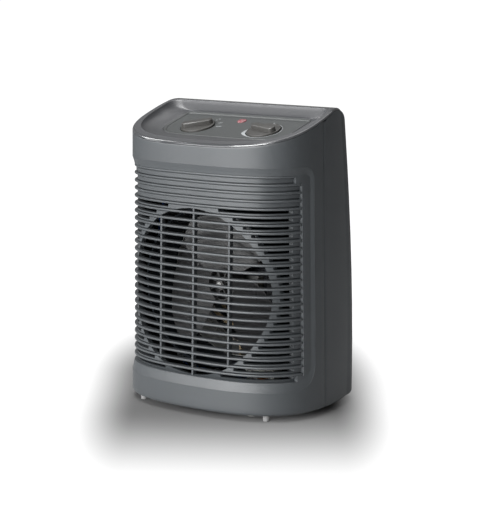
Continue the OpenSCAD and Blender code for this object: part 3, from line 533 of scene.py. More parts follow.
def finish_with(name, group, values, depth, metallic=0.0):
    """A material whose colour, gloss and relief come from a group; depth is the relief's in metres."""
    look = bpy.data.materials.new(name)
    look.use_nodes = True
    tree = look.node_tree
    shader = tree.nodes["Principled BSDF"]
    effect = tree.nodes.new("ShaderNodeGroup")
    effect.node_tree = group
    for label, value in values.items():
        effect.inputs[label].default_value = value
    bump = tree.nodes.new("ShaderNodeBump")
    bump.inputs["Distance"].default_value = depth
    feed(tree, effect.outputs["Height"], bump.inputs["Height"])
    feed(tree, bump.outputs["Normal"], shader.inputs["Normal"])
    feed(tree, effect.outputs["Colour"], shader.inputs["Base Color"])
    feed(tree, effect.outputs["Roughness"], shader.inputs["Roughness"])
    shader.inputs["Metallic"].default_value = metallic
    return look


def moulded(name, colour, gloss=0.45, grain=1800.0, depth=0.00003, specular=0.5, cloud=0.04):
    values = {"Colour": (*colour, 1), "Grain scale": grain, "Gloss": gloss, "Cloud": cloud}
    look = finish_with(name, mould_texture, values, depth)
    look.node_tree.nodes["Principled BSDF"].inputs["Specular IOR Level"].default_value = specular
    return look


def place(thing, look, slot, body, *replaced):
    """Gives a finished piece its material and the body that it rides on; slot is not used."""
    thing.data.materials.clear()
    thing.data.materials.append(look)
    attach(thing, body)
    if replaced:
        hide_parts(*replaced)


def dress(look, *names):
    """Puts a material on nodes of the frame that stay as they are."""
    for name in names:
        nodes[name].data.materials.clear()
        nodes[name].data.materials.append(look)


charcoal = (0.052, 0.058, 0.063)
casing_plastic = moulded("casing_plastic", charcoal)
place(rear_shell, casing_plastic, "casing_plastic", "casing", "rear_shell")


# ---- Front shell
# The front half of the casing, of the same plastic: a plain band at the top and another at the
# bottom, joined by the sides. The louvred insert snaps into the window between them.
front_edge = [(0.05, 0.5), (0.15, 0.25), (0.32, 0.08), (0.6, 0)]
front_stations = (parting_edge(-1, -1, front_edge) + [((-1,) + s, 0, 0) for s in reversed(bow_half[1:-1])]
                  + [((1,) + s, 0, 0) for s in bow_half[:-1]]
                  + list(reversed(parting_edge(1, -1, front_edge))))
front_shell = piece("front_casing", *wall_faces(*shell_wall(front_stations)))

window_z, window_back_y, window_low_r, window_top_r = (28, 237), -18, 24, 12


def side_outline(gap, steps=10):
    """The window seen from the side: open to the front, with round corners at the back."""
    y, low, high = window_back_y - gap, window_z[0] + gap, window_z[1] - gap
    points = [(-casing_half_d - 10, low)]
    for k in range(steps + 1):
        a = math.radians(90 * k / steps)
        points.append((y - window_low_r + window_low_r * math.sin(a),
                       low + window_low_r - window_low_r * math.cos(a)))
    for k in range(steps + 1):
        a = math.radians(90 * k / steps)
        points.append((y - window_top_r + window_top_r * math.cos(a),
                       high - window_top_r + window_top_r * math.sin(a)))
    return points + [(-casing_half_d - 10, high)]


def window_prism(gap):
    return prism("window", side_outline(gap), -120, 120, "x")


combine(front_shell, window_prism(0), "DIFFERENCE")
place(front_shell, casing_plastic, "casing_plastic", "casing", "front_shell")


# ---- Front grille
# The louvred insert: 26 slats with rounded noses over a plate that steps back between them like
# roof tiles. The lower rows are slotted beside the round window, where three ribs hold the slats.
slat_pitch, slat_t, slat_low_z, slat_count, closed_rows = 7.4, 2.0, 43.7, 26, 4
slat_high_z = slat_low_z + (slat_count - 1) * slat_pitch
nose_inset, plate_t, border_inset = 1.9, 2.2, 0.06
groove_end = 73 / 90            # where along the bow the grooves stop
shallow, deep = 0.7, 4.0        # depth of the plate's tiles, and of the gap over each nose
corner_from, corner_run, corner_extra = 0.42, 0.2, 2.0    # where they grow deeper, and by how much


def bow_at(t, z, inset):
    side = -1 if t < 0 else 1
    return casing_point((side, "bow", min(abs(t), 0.999)), z, inset)


side_slope, low_slope, high_slope = 4.2, 9.0, 6.5    # widths of the border's slope


def edge_depth(y, z):
    """Depth of the insert's plain border: it slopes in from the window's edge to the noses' level."""
    low, high = window_z
    t = min(1.0, (window_back_y - y) / side_slope)
    for centre_z, r, slope, down in ((low + window_low_r, window_low_r, low_slope, 1),
                                     (high - window_top_r, window_top_r, high_slope, -1)):
        side, up = max(y - (window_back_y - r), 0), (centre_z - z) * down
        if up > 0:
            reach = math.hypot(side, up)
            t = min(t, (r - reach) / mix(side_slope, slope, (up / reach) ** 2))
    return mix(border_inset, nose_inset, max(t, 0))


row_z = [(window_z[0], 0), (28.8, 0), (30, 0), (32.2, 0), (34.4, 0), (36.3, 0), (37.0, 0),
         (37.5, 1.2), (37.7, deep)]
for k in range(slat_count):
    top = slat_low_z + k * slat_pitch - slat_t / 2
    if k:
        gap_z = top - slat_pitch + slat_t
        row_z += [(gap_z, deep), (gap_z + 0.6, deep), (gap_z + 0.8, shallow + 0.5), (gap_z + 1.2, shallow)]
    row_z += [(top - 0.45, shallow), (top - 0.25, shallow + 0.8), (top, shallow + 1.0),
              (top + slat_t / 2, shallow + 1.2)]
row_z += [(slat_high_z + 0.9, 0.6), (slat_high_z + 1.3, 0), (232, 0), (233.7, 0), (235.4, 0), (236.4, 0),
          (window_z[1], 0)]
short_end, groove_fade = 67 / 90, 0.010     # the first and last grooves stop short of the others


def sunk(t, z):
    """1 in the grooves and 0 on the plain border beside them."""
    end = short_end if z < slat_low_z - 0.5 or z > slat_high_z - slat_pitch + 0.5 else groove_end
    return 1 - min(max((abs(t) - end) / groove_fade, 0), 1)


def deepened(depth, t):
    """The tiles lie deeper round the casing's corners, where the noses stand free."""
    ease = min(max((abs(t) - corner_from) / corner_run, 0), 1)
    return min(depth + corner_extra * ease, deep) if depth >= shallow else depth


plate_ts = [mix(-0.88, 0.88, k / 96) for k in range(97)]
plate_ts += [s * (end + groove_fade * d) for s in (-1, 1) for end in (short_end, groove_end)
             for d in (-0.1, 0.0, 0.5, 1.0, 1.2)]
plate_ts += [s * mix(0.885, 0.955, k / 12) for s in (-1, 1) for k in range(13)]
plate_ts = sorted(set(plate_ts))
outer, inner = [], []
for t in plate_ts:
    outer.append([])
    inner.append([])
    for z, depth in row_z:
        y = bow_at(t, z, 0).y
        outer[-1].append(bow_at(t, z, edge_depth(y, z) + deepened(depth, t) * sunk(t, z)))
        inner[-1].append(bow_at(t, z, nose_inset + plate_t + deep * sunk(t, slat_low_z)))
grille = piece("louvred_insert", *wall_faces(outer, inner))
combine(grille, window_prism(0.06), "INTERSECT")

window_r = 79
round_window = lathe("round_window", [(-100, window_r), (-20, window_r)], (0, 0, fan_z), steps=120)
combine(grille, round_window, "DIFFERENCE")
slot_margin, slot_end_y, slot_near_x, slot_far_x, slot_drop, slot_r = 4.5, -39, 24, 95.2, 0.4, 1.0
slots = []
for k in range(slat_count - closed_rows):
    z = slat_low_z - slat_pitch / 2 + k * slat_pitch
    gap = window_r + slot_margin
    near = math.sqrt(gap ** 2 - (z - fan_z) ** 2) if abs(z - fan_z) < gap else 0
    near = max(near, slot_near_x)
    low, high = z - slot_drop, z + slat_pitch / 2 - slat_t / 2 + 0.05
    for x1, x2 in ((-slot_far_x, -near), (near, slot_far_x)):
        slots.append(prism("slot", rounded_box(x1, x2, low, high, slot_r, 3), -100, slot_end_y))
combine(grille, joined(slots, "slots"), "DIFFERENCE")

nose_profile = [(6.4, -1.0), (0.55, -1.0), (0.16, -0.78), (0.0, -0.3), (0.0, 0.3), (0.16, 0.78),
                (0.55, 1.0), (6.4, 1.0)]
slat_steps, slat_end, tip_share, tip_inset = 72, groove_end * 1.012, 1 / 60, 0.9
slat_ts = [slat_end * math.sin(math.pi / 2 * mix(-1, 1, i / slat_steps)) for i in range(slat_steps + 1)]
slats = []
for k in range(slat_count):
    z = slat_low_z + k * slat_pitch
    rings = []
    for t in slat_ts:
        tip = max(0.0, 1 - (1 - abs(t) / slat_end) / tip_share) * tip_inset
        rings.append([bow_at(t, z, nose_inset + back + tip) + Vector((0, 0, up * slat_t / 2))
                      for back, up in nose_profile])
    slats.append(loft("slat", rings))

rib_half_w, rib_depth, rib_back, rib_overlap = 0.95, 5, 2.4, 3
lean = front_lean / (casing_top_z - casing_low_z)
for x in (-window_r / 2, 0, window_r / 2):
    half_chord = math.sqrt((window_r + rib_overlap) ** 2 - x * x)
    t = math.asin((abs(x) / half_w(slat_low_z)) ** (bow(slat_low_z) / 2)) / (math.pi / 2)
    y0 = bow_at(t, slat_low_z, nose_inset).y + rib_back
    low, high = fan_z - half_chord, fan_z + half_chord
    outline = [(y0 + lean * (z - slat_low_z) + d, z) for z, d in
               ((low, 0), (low, rib_depth), (high, rib_depth), (high, 0))]
    slats.append(prism("rib", outline, x - rib_half_w, x + rib_half_w, "x"))
grille = joined([grille] + slats, "louvred_insert")
smooth(grille)
place(grille, casing_plastic, "casing_plastic", "casing", "front_grille")


# ---- Top panel
# A separate moulding that closes the casing: its rim follows the shells, its polished outer edge
# catches the light, and a dished bowl falls to the floor that carries the controls.
def ring_points(w, yf, yp, yr, n, tap, r):
    """Half of a D-shaped outline at the casing's own stations, from the front round to the back."""
    half = []
    side_end = yr - r
    x_end = w - tap * ((side_end - yp) / taper_run) ** 2
    for stretch, t in bow_half + rear_half:
        a = t * math.pi / 2
        if stretch == "bow":
            half.append((w * math.sin(a) ** (2 / n), yp - (yp - yf) * max(math.cos(a), 0) ** (2 / n)))
        elif stretch == "side":
            y = mix(yp, side_end, t)
            half.append((w - tap * ((y - yp) / taper_run) ** 2, y))
        elif stretch == "corner":
            half.append((x_end - r + r * math.cos(a), side_end + r * math.sin(a)))
        else:
            half.append((mix(x_end - r, 0, t), yr))
    return half


def around_both(half):
    """The whole closed outline from its right half."""
    return half + [(-x, y) for x, y in reversed(half[1:-1])]


panel_stations = [(1,) + s for s in bow_half + rear_half]
panel_stations += [(-1,) + s[1:] for s in reversed(panel_stations[1:-1])]


def panel_ring(inset, drop=0.0):
    ring = []
    for station in panel_stations:
        z = roof(casing_point(station, casing_top_z, inset).y)
        p = casing_point(station, z, inset)
        ring.append(Vector((p.x, p.y, roof(p.y) - drop)))
    return ring


def seam_ring(inset, lift=0.0):
    ring = []
    for station in panel_stations:
        z = seam(casing_point(station, casing_top_z).y)
        p = casing_point(station, z, inset)
        ring.append(Vector((p.x, p.y, z + lift)))
    return ring


bowl_w, bowl_front, bowl_back, bowl_bow, bowl_taper, bowl_corner_r = 92.5, -65, 21, 2.98, 3, 12


def bowl_ring(grow, drop=0.0):
    flat = around_both(ring_points(bowl_w + grow, bowl_front - grow, 0, bowl_back + grow, bowl_bow,
                                   bowl_taper, bowl_corner_r + grow))
    return [Vector((x, y, roof(y) - drop)) for x, y in flat]


fascia_slope, knob_x, knob_y, fascia_z = math.radians(15.6), 38.5, -12, 266.7
fascia_t, floor_t = 3.4, 2.0
fascia_w, fascia_front, fascia_widest_y, fascia_back = 73, -36.5, 12, 20.1
fascia_bow, fascia_corner_r = 5.5, 5


def fascia_ring(grow, drop):
    flat = around_both(ring_points(fascia_w + grow, fascia_front - grow, fascia_widest_y, fascia_back + grow,
                                   fascia_bow, 0, fascia_corner_r + grow))
    return [Vector((x, y, fascia_z + math.tan(fascia_slope) * (y - knob_y) - drop)) for x, y in flat]


def blended(a, b, t, fall=None):
    """Between two rings; fall bends the way down, from 0 at a to 1 at b."""
    f = t if fall is None else fall
    return [Vector((mix(p.x, q.x, t), mix(p.y, q.y, t), mix(p.z, q.z, f))) for p, q in zip(a, b)]


def on_roof(ring):
    return [Vector((p.x, p.y, roof(p.y))) for p in ring]


rim_r = 1.9
rim_round = [(rim_r * (1 - math.cos(math.radians(a))), rim_r * (1 - math.sin(math.radians(a))))
             for a in range(0, 91, 9)]
bead = [(1.7, 0.0), (1.45, 0.14), (1.1, 0.2), (0.85, 0.12)]    # a raised line round the mouth
mouth_round = [(0.6, 0.01), (0.4, 0.04), (0.2, 0.10), (0.05, 0.18)]


def lifted(ring, height):
    return [p + Vector((0, 0, height)) for p in ring]


mouth, outer_rim = bowl_ring(0), panel_ring(rim_r)
rim_flat = [on_roof(blended(outer_rim, bowl_ring(2.0), f)) for f in
            (0.04, 0.1, 0.18, 0.27, 0.37, 0.47, 0.57, 0.67, 0.77, 0.87, 0.95)]
bowl_foot = fascia_ring(1.4, -0.1)
bowl_fall = [(0.02, 0.26), (0.06, 0.4), (0.13, 0.55), (0.25, 0.72), (0.42, 0.85), (0.62, 0.94), (0.84, 0.99)]
skirt_in = wall + 0.4
rings = ([fascia_ring(2.4, fascia_t + floor_t), bowl_ring(1.6, 4), panel_ring(skirt_in + 1.6, panel_lip + 1),
          seam_ring(skirt_in + 1.6, -5), seam_ring(skirt_in, -5), seam_ring(skirt_in, 0.05),
          seam_ring(edge_round, 0.05), seam_ring(0.1, 0.12), seam_ring(0, 0.25)]
         + [panel_ring(inset, drop) for inset, drop in rim_round] + rim_flat
         + [lifted(bowl_ring(out), height) for out, height in bead]
         + [blended(bowl_ring(out), bowl_foot, 0, fall) for out, fall in mouth_round]
         + [blended(mouth, bowl_foot, t, fall) for t, fall in bowl_fall]
         + [bowl_foot, fascia_ring(0.9, 0.0), fascia_ring(0.35, 0.3), fascia_ring(0.3, fascia_t)])
top_panel = loft("top_panel_dish", rings)


def on_fascia(x, v=0.0, w=0.0):
    """A point on the control plate: x across, v up its slope, w out of it."""
    c, s = math.cos(fascia_slope), math.sin(fascia_slope)
    return Vector((x, knob_y + v * c - w * s, fascia_z + v * s + w * c))


fascia_normal = (0, -math.sin(fascia_slope), math.cos(fascia_slope))
lens_v, lens_r = 20, 4.6


def drill(thing, x, v, w1, w2, r, steps=48):
    """A round hole across the control plate from w1 to w2."""
    tool = lathe("drill", [(w1, r), (w2, r)], on_fascia(x, v), fascia_normal, steps)
    combine(thing, tool, "DIFFERENCE")


spindle_hole_r, lens_hole_r = 5, lens_r + 0.1
for x in (-knob_x, knob_x):
    drill(top_panel, x, 0, -12, 3, spindle_hole_r)
drill(top_panel, 0, lens_v, -12, 3, lens_hole_r)
panel_plastic = moulded("panel_plastic", (0.056, 0.058, 0.063), gloss=0.46, depth=0.00001, cloud=0.015)
place(top_panel, panel_plastic, "panel_plastic", "casing", "top_panel")

# The rim's outer rounding is polished, and it is also coloured a touch lighter than the panel as a painted
# highlight.
polished_rim_painted_highlight = moulded("polished_rim_painted_highlight", (0.062, 0.064, 0.068), gloss=0.10, depth=0.000004, grain=900)
top_panel.data.materials.append(polished_rim_painted_highlight)
mouth_x, mouth_front, mouth_back = bowl_w + 1, 1 - bowl_front, bowl_back + 1
for face in top_panel.data.polygons:
    x, y, z = face.center / MM
    outside = (abs(x) / mouth_x) ** bowl_bow + (max(-y, 0) / mouth_front) ** bowl_bow > 1 or y > mouth_back
    if outside and roof(y) - rim_r - 0.1 < z < roof(y) - 0.003 and face.normal.z > 0.02:
        face.material_index = 1


# ---- Control fascia
# A thin plate let into the floor of the bowl, a shade greener than the casing, with a bright
# bevelled edge, a round recess under each knob and raised marks beside them.
face_drop = 1.4
fascia = loft("control_plate", [fascia_ring(-grow, drop) for grow, drop in
                                ((0, fascia_t), (0, 0.3), (0.12, 0.08), (0.4, 0), (1.7, 0.45), (2.1, 0.7),
                                 (2.45, 1.2), (2.7, face_drop - 0.04), (3.0, face_drop))])
recess_r, recess_depth = 17.5, 2.4
for x in (-knob_x, knob_x):
    drill(fascia, x, 0, -recess_depth, 5, recess_r, 72)
    drill(fascia, x, 0, -8, 3, spindle_hole_r)
drill(fascia, 0, lens_v, -8, 6, lens_hole_r)
fascia_plastic = moulded("fascia_plastic", (0.047, 0.052, 0.052), gloss=0.5, cloud=0.02)
place(fascia, fascia_plastic, "fascia_plastic", "casing", "control_fascia")


def printed_band(name, x, angles, inner, thickness):
    """A thin raised band round a knob; thickness gives its width at an angle in degrees."""
    grid = []
    for a in angles:
        c, s = math.cos(math.radians(a)), math.sin(math.radians(a))
        far = inner + thickness(a)
        grid.append([on_fascia(x + r * c, r * s, w - face_drop) for r, w in
                     ((inner, -0.2), (inner, 0.1), (far, 0.1), (far, -0.2))])
    return loft(name, grid)


def scale_width(a):
    """The thermostat's scale swells towards the warm end and runs on as a thin line."""
    if a < 207:
        return mix(0.15, 4.0, ((a - 164) / 43) ** 1.3)
    return 0.65 + 3.35 * max(0.0, 1 - (a - 207) / 50) ** 1.6


def mark(x, radius, angle, length, width):
    """A short bar, or a dot, on the plate round a knob, pointing away from it."""
    half_a = math.degrees(width / 2 / radius)
    return printed_band("mark", x, [angle - half_a, angle + half_a], radius - length / 2, lambda a: length)


scale = printed_band("scale", knob_x, [164 + 4.5 * k for k in range(62)], 17.7, scale_width)
marks = [mark(knob_x, 20.2, 94, 1.4, 1.4)]
marks += [mark(-knob_x, r, 62, 1.5, 1.5) for r in (20.6, 24.2)]
marks += [mark(-knob_x, 22.3, 33, 4.5, 0.9), mark(-knob_x, 23.0, 7, 6.0, 0.9),
          mark(-knob_x, 21.0, 88, 1.5, 1.5)]
print_white = moulded("scale_print", (0.36, 0.38, 0.39), gloss=0.55, depth=0.00001)
place(joined([scale] + marks, "printed_scale"), print_white, "fascia_plastic", "casing")


# ---- Knobs
# Two turned knobs on steel spindles: a dial with a softly rounded edge and a straight grip bar
# across it. The left one picks fan or heat, the right one sets the thermostat.
def grip_bar(name, length, width, low, high, angle, x):
    """A bar with rounded ends and softened top edges, across a knob."""
    rings = []
    for w, inset in ((low, 0), (high - 1.0, 0.3), (high - 0.45, 0.45), (high - 0.12, 0.8), (high, 1.4)):
        r = width / 2 - inset
        half = length / 2 - inset - r
        ring = []
        for k in range(24):
            a = 2 * math.pi * (k + 0.5) / 24
            u = (half if math.cos(a) > 0 else -half) + r * math.cos(a)
            v = r * math.sin(a)
            c, s = math.cos(angle), math.sin(angle)
            ring.append(on_fascia(x + u * c - v * s, u * s + v * c, w))
        rings.append(ring)
    return loft(name, rings)


knob_plastic = moulded("knob_plastic", (0.046, 0.0445, 0.041), gloss=0.42)
knob_r, knob_low, dial_top, grip_top, grip_w = 16.5, -2.2, 0.3, 4.3, 8.8
dial = [(knob_low, 3.0), (knob_low, knob_r - 0.25), (knob_low + 0.25, knob_r), (dial_top - 0.7, knob_r),
        (dial_top - 0.25, knob_r - 0.2), (dial_top, knob_r - 0.7), (dial_top, knob_r - 1.4),
        (dial_top - 0.25, knob_r - 1.8), (dial_top - 0.25, 0.01)]
for name, x, angle in (("function_knob", -knob_x, 34), ("thermostat_knob", knob_x, -14)):
    body = lathe("dial", dial, on_fascia(x), fascia_normal, 72)
    bar = grip_bar("bar", 2 * knob_r - 2.4, grip_w, knob_low + 1, grip_top, math.radians(angle), x)
    knob = joined([body, bar], name.replace("knob", "dial"))
    smooth(knob)
    place(knob, knob_plastic, "knob_plastic", name, name)


# ---- Pilot lens and lamp
# A clear red lens pushed into the control plate, with the small neon lamp behind it.
lens = lathe("pilot_light", [(-11, lens_r), (-1.0, lens_r), (-0.7, lens_r - 0.3), (-0.3, lens_r - 1.0),
                             (0.0, lens_r - 2.4), (0.1, 0.01)], on_fascia(0, lens_v), fascia_normal, 48)
lens_plastic = bpy.data.materials.new("lens_plastic")
lens_plastic.use_nodes = True
tree = lens_plastic.node_tree
shader = tree.nodes["Principled BSDF"]
shader.inputs["Roughness"].default_value = 0.2
tint = blend(tree, ramp(tree, noise(tree, 260.0), 0, 1), (0.24, 0.075, 0.085, 1), (0.34, 0.12, 0.135, 1))
feed(tree, tint, shader.inputs["Base Color"])
place(lens, lens_plastic, "lens_plastic", "casing", "pilot_lens")


# ---- Feet
# Four soft rubber feet pushed into the base plate from below.
rubber = moulded("rubber_grey", (0.24, 0.24, 0.24), gloss=0.6, depth=0.00004, specular=0.3)
for name in ("foot_front_left", "foot_front_right", "foot_rear_left", "foot_rear_right"):
    low, high = box_mm(name)
    middle = ((low.x + high.x) / 2, (low.y + high.y) / 2, 0)
    foot = lathe(name + "_pad", [(0.0, 0.01), (0.0, 2.7), (0.35, 3.0), (4.6, 3.35), (5.3, 3.2), (5.7, 2.6),
                                 (5.7, 2.0), (9.0, 2.0), (9.0, 2.75), (10.0, 2.5), (10.4, 0.01)],
                 middle, (0, 0, 1), 40)
    place(foot, rubber, "rubber_black", "casing", name)


# ---- Fan impeller
# Three broad blades on a ribbed hub, moulded in one piece and pushed onto the motor's shaft. The
# blades are hollow towards the front, and their front corners are cut back in a long curve.
hub_r, hub_front, hub_back, boss_r = 16, -27, -9, 5.5
blade_y, blade_half_t, tip_r, groove_depth = -24, 0.9, 68, 0.35
blade_slope, blade_hollow, blade_angles = math.tan(math.radians(24)), 3.0, (80, 200, 320)


def blade_point(middle_a, r, s, off):
    """A point at r from the axis; s runs from 0 at the rear edge to 1 at the front edge."""
    rear_a = mix(-38, -46, min(1, (r - hub_r) / 10)) + 6 * max(0, (r - 62) / 6) ** 2
    front_a = 54 - 22 * max(0, (r - 42) / 26) ** 1.5
    a = math.radians(mix(rear_a, front_a, s))
    v = r * math.sin(a)
    hollow = blade_hollow * (1 - (math.degrees(a) / 54) ** 2) * min(1, r / 50)
    a += math.radians(middle_a)
    return Vector((r * math.cos(a), blade_y - v * blade_slope + hollow + off, fan_z + r * math.sin(a)))


def blade(middle_a):
    """A blade with softened edges and a fine curved line across its front."""
    front, back = [], []
    across = [0, 0.008] + [k / 26 for k in range(1, 26)] + [0.992, 1]
    for s in across:
        line_r = mix(40, 49, s)
        rows = [(mix(hub_r - 1.5, line_r - 0.5, k / 5), 0) for k in range(6)]
        rows += [(line_r, groove_depth), (line_r + 0.5, 0)]
        rows += [(mix(line_r + 0.5, tip_r, f), 0) for f in (0.25, 0.5, 0.75, 0.9, 0.975, 1)]
        edge = s in (0, 1)
        front.append([blade_point(middle_a, r, s, sunk_in - blade_half_t * (0.4 if edge or r == tip_r else 1))
                      for r, sunk_in in rows])
        back.append([blade_point(middle_a, r, s, blade_half_t * (0.4 if edge or r == tip_r else 1))
                     for r, sunk_in in rows])
    return piece("blade", *wall_faces(front, back))


shaft_r = box_mm("motor_shaft")[1].x
cup_y, cup_r = -19, hub_r - 1.6
hub = lathe("hub", [(hub_front, cup_r + 0.2), (hub_front, hub_r - 0.3), (hub_front + 0.3, hub_r),
                    (hub_back - 0.3, hub_r), (hub_back, hub_r - 0.3), (hub_back, shaft_r + 0.1),
                    (hub_front, shaft_r + 0.1), (hub_front, boss_r - 0.3), (hub_front + 0.3, boss_r),
                    (cup_y - 0.3, boss_r + 0.1), (cup_y, boss_r + 0.4), (cup_y, cup_r - 0.4),
                    (cup_y - 0.3, cup_r), (hub_front + 0.2, cup_r), (hub_front, cup_r + 0.2)],
            (0, 0, fan_z), steps=64)
ribs, rib_count, rib_half_t = [], 8, 0.6
for k in range(rib_count):
    a = 2 * math.pi * (k + 0.5) / rib_count
    along, across = Vector((math.cos(a), math.sin(a))), Vector((-math.sin(a), math.cos(a)))
    corners = [along * r + across * w + Vector((0, fan_z)) for r, w in
               ((boss_r - 0.4, -rib_half_t), (cup_r + 0.4, -rib_half_t), (cup_r + 0.4, rib_half_t),
                (boss_r - 0.4, rib_half_t))]
    ribs.append(prism("rib", [tuple(c) for c in corners], hub_front + 1.2, cup_y + 0.4))
impeller = joined([hub] + ribs + [blade(a) for a in blade_angles], "fan_wheel")
smooth(impeller)
blade_plastic = moulded("blade_plastic", (0.027, 0.027, 0.028), gloss=0.36)
place(impeller, blade_plastic, "blade_plastic", "fan_rotor", "fan_impeller")


# ---- Heating element
# Two rings of coiled resistance wire threaded through the mica plates in front of the motor.
def coil_ring(name, tube_box, turns, wire_r):
    """A ring of fine wire wound round a circle, with a five-sided section."""
    low, high = tube_box
    wound_r = (high.y - low.y) / 2 - wire_r
    ring_r, ring_y = high.x - wound_r - wire_r, (low.y + high.y) / 2
    steps, sides, rings = turns * 10, 5, []
    for i in range(steps):
        a, b = 2 * math.pi * i / steps, 2 * math.pi * i * turns / steps
        out = Vector((math.cos(a), 0, math.sin(a)))
        spoke = out * math.cos(b) + Vector((0, math.sin(b), 0))
        middle = out * ring_r + spoke * wound_r + Vector((0, ring_y, fan_z))
        ahead = (Vector((-math.sin(a), 0, math.cos(a))) * ring_r / turns
                 + (Vector((0, math.cos(b), 0)) - out * math.sin(b)) * wound_r).normalized()
        side = ahead.cross(spoke)
        section = [2 * math.pi * k / sides for k in range(sides)]
        rings.append([middle + (spoke * math.cos(c) + side * math.sin(c)) * wire_r for c in section])
    return loft(name, rings, closed=True, sharp=80)


# Metal: fine scratches along one direction over soft clouds of tarnish.
metal_texture, given = node_group(
    "metal_texture",
    [("Colour", "Color", (0.5, 0.5, 0.5, 1)), ("Gloss", "Float", 0.3), ("Tarnish", "Float", 0.2)])
stretched = step(metal_texture, "VectorMath", "MULTIPLY", own_place(metal_texture), (60, 1400, 1400))
scratches = noise(metal_texture, 1.0, at=stretched)
tarnish = ramp(metal_texture, noise(metal_texture, 120.0, 4.0), 0, -1)
dulled = step(metal_texture, "Math", "MULTIPLY_ADD", tarnish, given["Tarnish"], 1.0)
uneven_gloss = ramp(metal_texture, scratches, -0.08, 0.12)
hand_out(metal_texture, shade(metal_texture, given["Colour"], dulled),
         step(metal_texture, "Math", "ADD", given["Gloss"], uneven_gloss), scratches)

# Stacked sheets or wound wire: bands across one axis, darker in the joints.
banded_texture, given = node_group(
    "banded_texture",
    [("Colour", "Color", (0.5, 0.5, 0.5, 1)), ("Joint", "Color", (0.1, 0.1, 0.1, 1)), ("Gloss", "Float", 0.4),
     ("Axis", "Vector", (1, 0, 0)), ("Pitch", "Float", 0.0005)])
along_axis = step(banded_texture, "VectorMath", "DOT_PRODUCT", own_place(banded_texture), given["Axis"])
rounds = step(banded_texture, "Math", "DIVIDE", along_axis, given["Pitch"])
half_round = 0.5
band = ramp(banded_texture, step(banded_texture, "Math", "PINGPONG", rounds, half_round), 0, 1, 0.02, 0.28)
uneven = ramp(banded_texture, noise(banded_texture, 300.0), 0.8, 1.15)
striped = blend(banded_texture, band, given["Joint"], given["Colour"])
hand_out(banded_texture, shade(banded_texture, striped, uneven), given["Gloss"], band)

# Mica: overlapping flakes of gold and brown under a dull sheen.
mica_texture, given = node_group(
    "mica_texture", [("Light", "Color", (0.45, 0.36, 0.22, 1)), ("Dark", "Color", (0.20, 0.14, 0.08, 1))])
flakes = mica_texture.nodes.new("ShaderNodeTexVoronoi")
flakes.inputs["Scale"].default_value = 420.0
feed(mica_texture, own_place(mica_texture), flakes.inputs["Vector"])
speckle = noise(mica_texture, 700.0)
hand_out(mica_texture, blend(mica_texture, ramp(mica_texture, speckle, 0, 1), given["Light"], given["Dark"]),
         ramp(mica_texture, speckle, 0.35, 0.6), flakes.outputs["Distance"])


def metal(name, colour, gloss, tarnish=0.2):
    return finish_with(name, metal_texture, {"Colour": (*colour, 1), "Gloss": gloss, "Tarnish": tarnish},
                       0.000004, metallic=1.0)


def banded(name, colour, joint, gloss, axis, pitch, metallic):
    values = {"Colour": (*colour, 1), "Joint": (*joint, 1), "Gloss": gloss, "Axis": axis, "Pitch": pitch}
    return finish_with(name, banded_texture, values, 0.00006, metallic)


element_wire = metal("element_wire", (0.30, 0.28, 0.26), 0.45, 0.5)
for name, turns in (("heating_coil_inner", 130), ("heating_coil_outer", 160)):
    place(coil_ring(name.replace("heating_coil", "wound_wire"), box_mm(name), turns, 0.35), element_wire,
          "element_wire", "casing", name)
dress(finish_with("mica_sheet", mica_texture, {}, 0.00005), "mica_frame")
dress(moulded("cutout_ceramic", (0.62, 0.58, 0.50), gloss=0.35, grain=900), "thermal_cutout")
dress(metal("fuse_can", (0.62, 0.60, 0.56), 0.25, 0.1), "thermal_fuse")


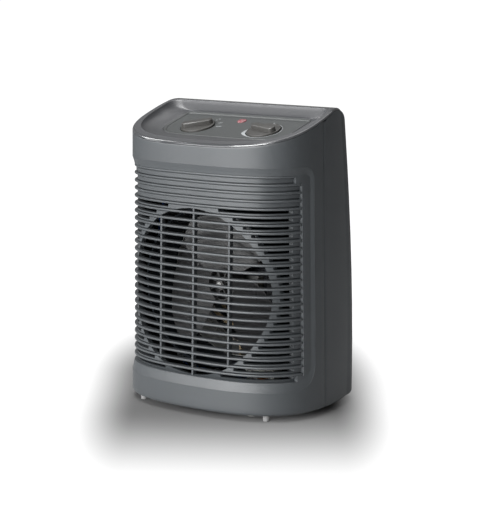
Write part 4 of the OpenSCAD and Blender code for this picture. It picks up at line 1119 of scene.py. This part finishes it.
# ---- Duct and motor
# A dark duct with a plated steel liner, and the shaded-pole motor that its spider carries: stacked
# laminations, an enamelled winding, pressed brackets with bronze bushes, and a turned shaft.
dress(moulded("duct_plastic", (0.006, 0.009, 0.013), gloss=0.6, specular=0.2), "fan_duct")
plated_steel = metal("plated_steel", (0.42, 0.42, 0.41), 0.35, 0.3)
bright_steel = metal("bright_steel", (0.66, 0.66, 0.65), 0.2, 0.12)
dress(plated_steel, "heater_ring", "motor_spider", "motor_bracket_front", "motor_bracket_rear",
      "function_spindle", "thermostat_spindle")
dress(metal("dull_steel", (0.16, 0.16, 0.16), 0.5, 0.3), "impeller_nut")
dress(bright_steel, "motor_shaft", "motor_bolts", "casing_screws", "base_screws",
      "duct_screws", "spider_screws", "control_screws")
across_y, across_x = (0, 1, 0), (1, 0, 0)
dress(banded("stator_sheets", (0.26, 0.27, 0.29), (0.07, 0.07, 0.08), 0.45, across_y, 0.0005, 1.0),
      "motor_stator")
dress(banded("rotor_sheets", (0.42, 0.42, 0.43), (0.12, 0.12, 0.13), 0.35, across_y, 0.0005, 1.0),
      "motor_rotor")
dress(banded("copper_winding", (0.52, 0.17, 0.06), (0.12, 0.04, 0.02), 0.25, across_x, 0.0004, 0.7),
      "motor_coil")
dress(metal("bush_bronze", (0.50, 0.33, 0.14), 0.4), "motor_bush_front", "motor_bush_rear")


# ---- Switches, terminals and wiring
# A cream rotary selector and thermostat under the control plate, a terminal block at the cord's
# inlet, and PVC-covered wires between them.
switch_plastic = moulded("switch_plastic", (0.66, 0.62, 0.52), gloss=0.4, grain=1200)
dress(switch_plastic, "selector_switch")
dress(moulded("thermostat_plastic", (0.58, 0.54, 0.44), gloss=0.4, grain=1200), "thermostat_body")
dress(moulded("block_plastic", (0.70, 0.70, 0.66), gloss=0.45, grain=1000), "terminal_block")
lamp_glass = moulded("lamp_glass", (0.80, 0.36, 0.20), gloss=0.08, depth=0.000002)
lamp_glass.node_tree.nodes["Principled BSDF"].inputs["Transmission Weight"].default_value = 0.6
dress(lamp_glass, "pilot_lamp")
dress(moulded("bush_rubber", (0.020, 0.020, 0.021), gloss=0.6, depth=0.00005, specular=0.3), "cord_bush")
dress(casing_plastic, "base_plate")
for name, colour in (("wire_live", (0.16, 0.06, 0.02)), ("wire_neutral", (0.02, 0.05, 0.17)),
                     ("wire_link", (0.02, 0.02, 0.02)), ("wire_motor", (0.62, 0.62, 0.60)),
                     ("wire_heater", (0.50, 0.03, 0.03))):
    dress(moulded(name + "_cover", colour, gloss=0.35, grain=700, depth=0.00001), name)
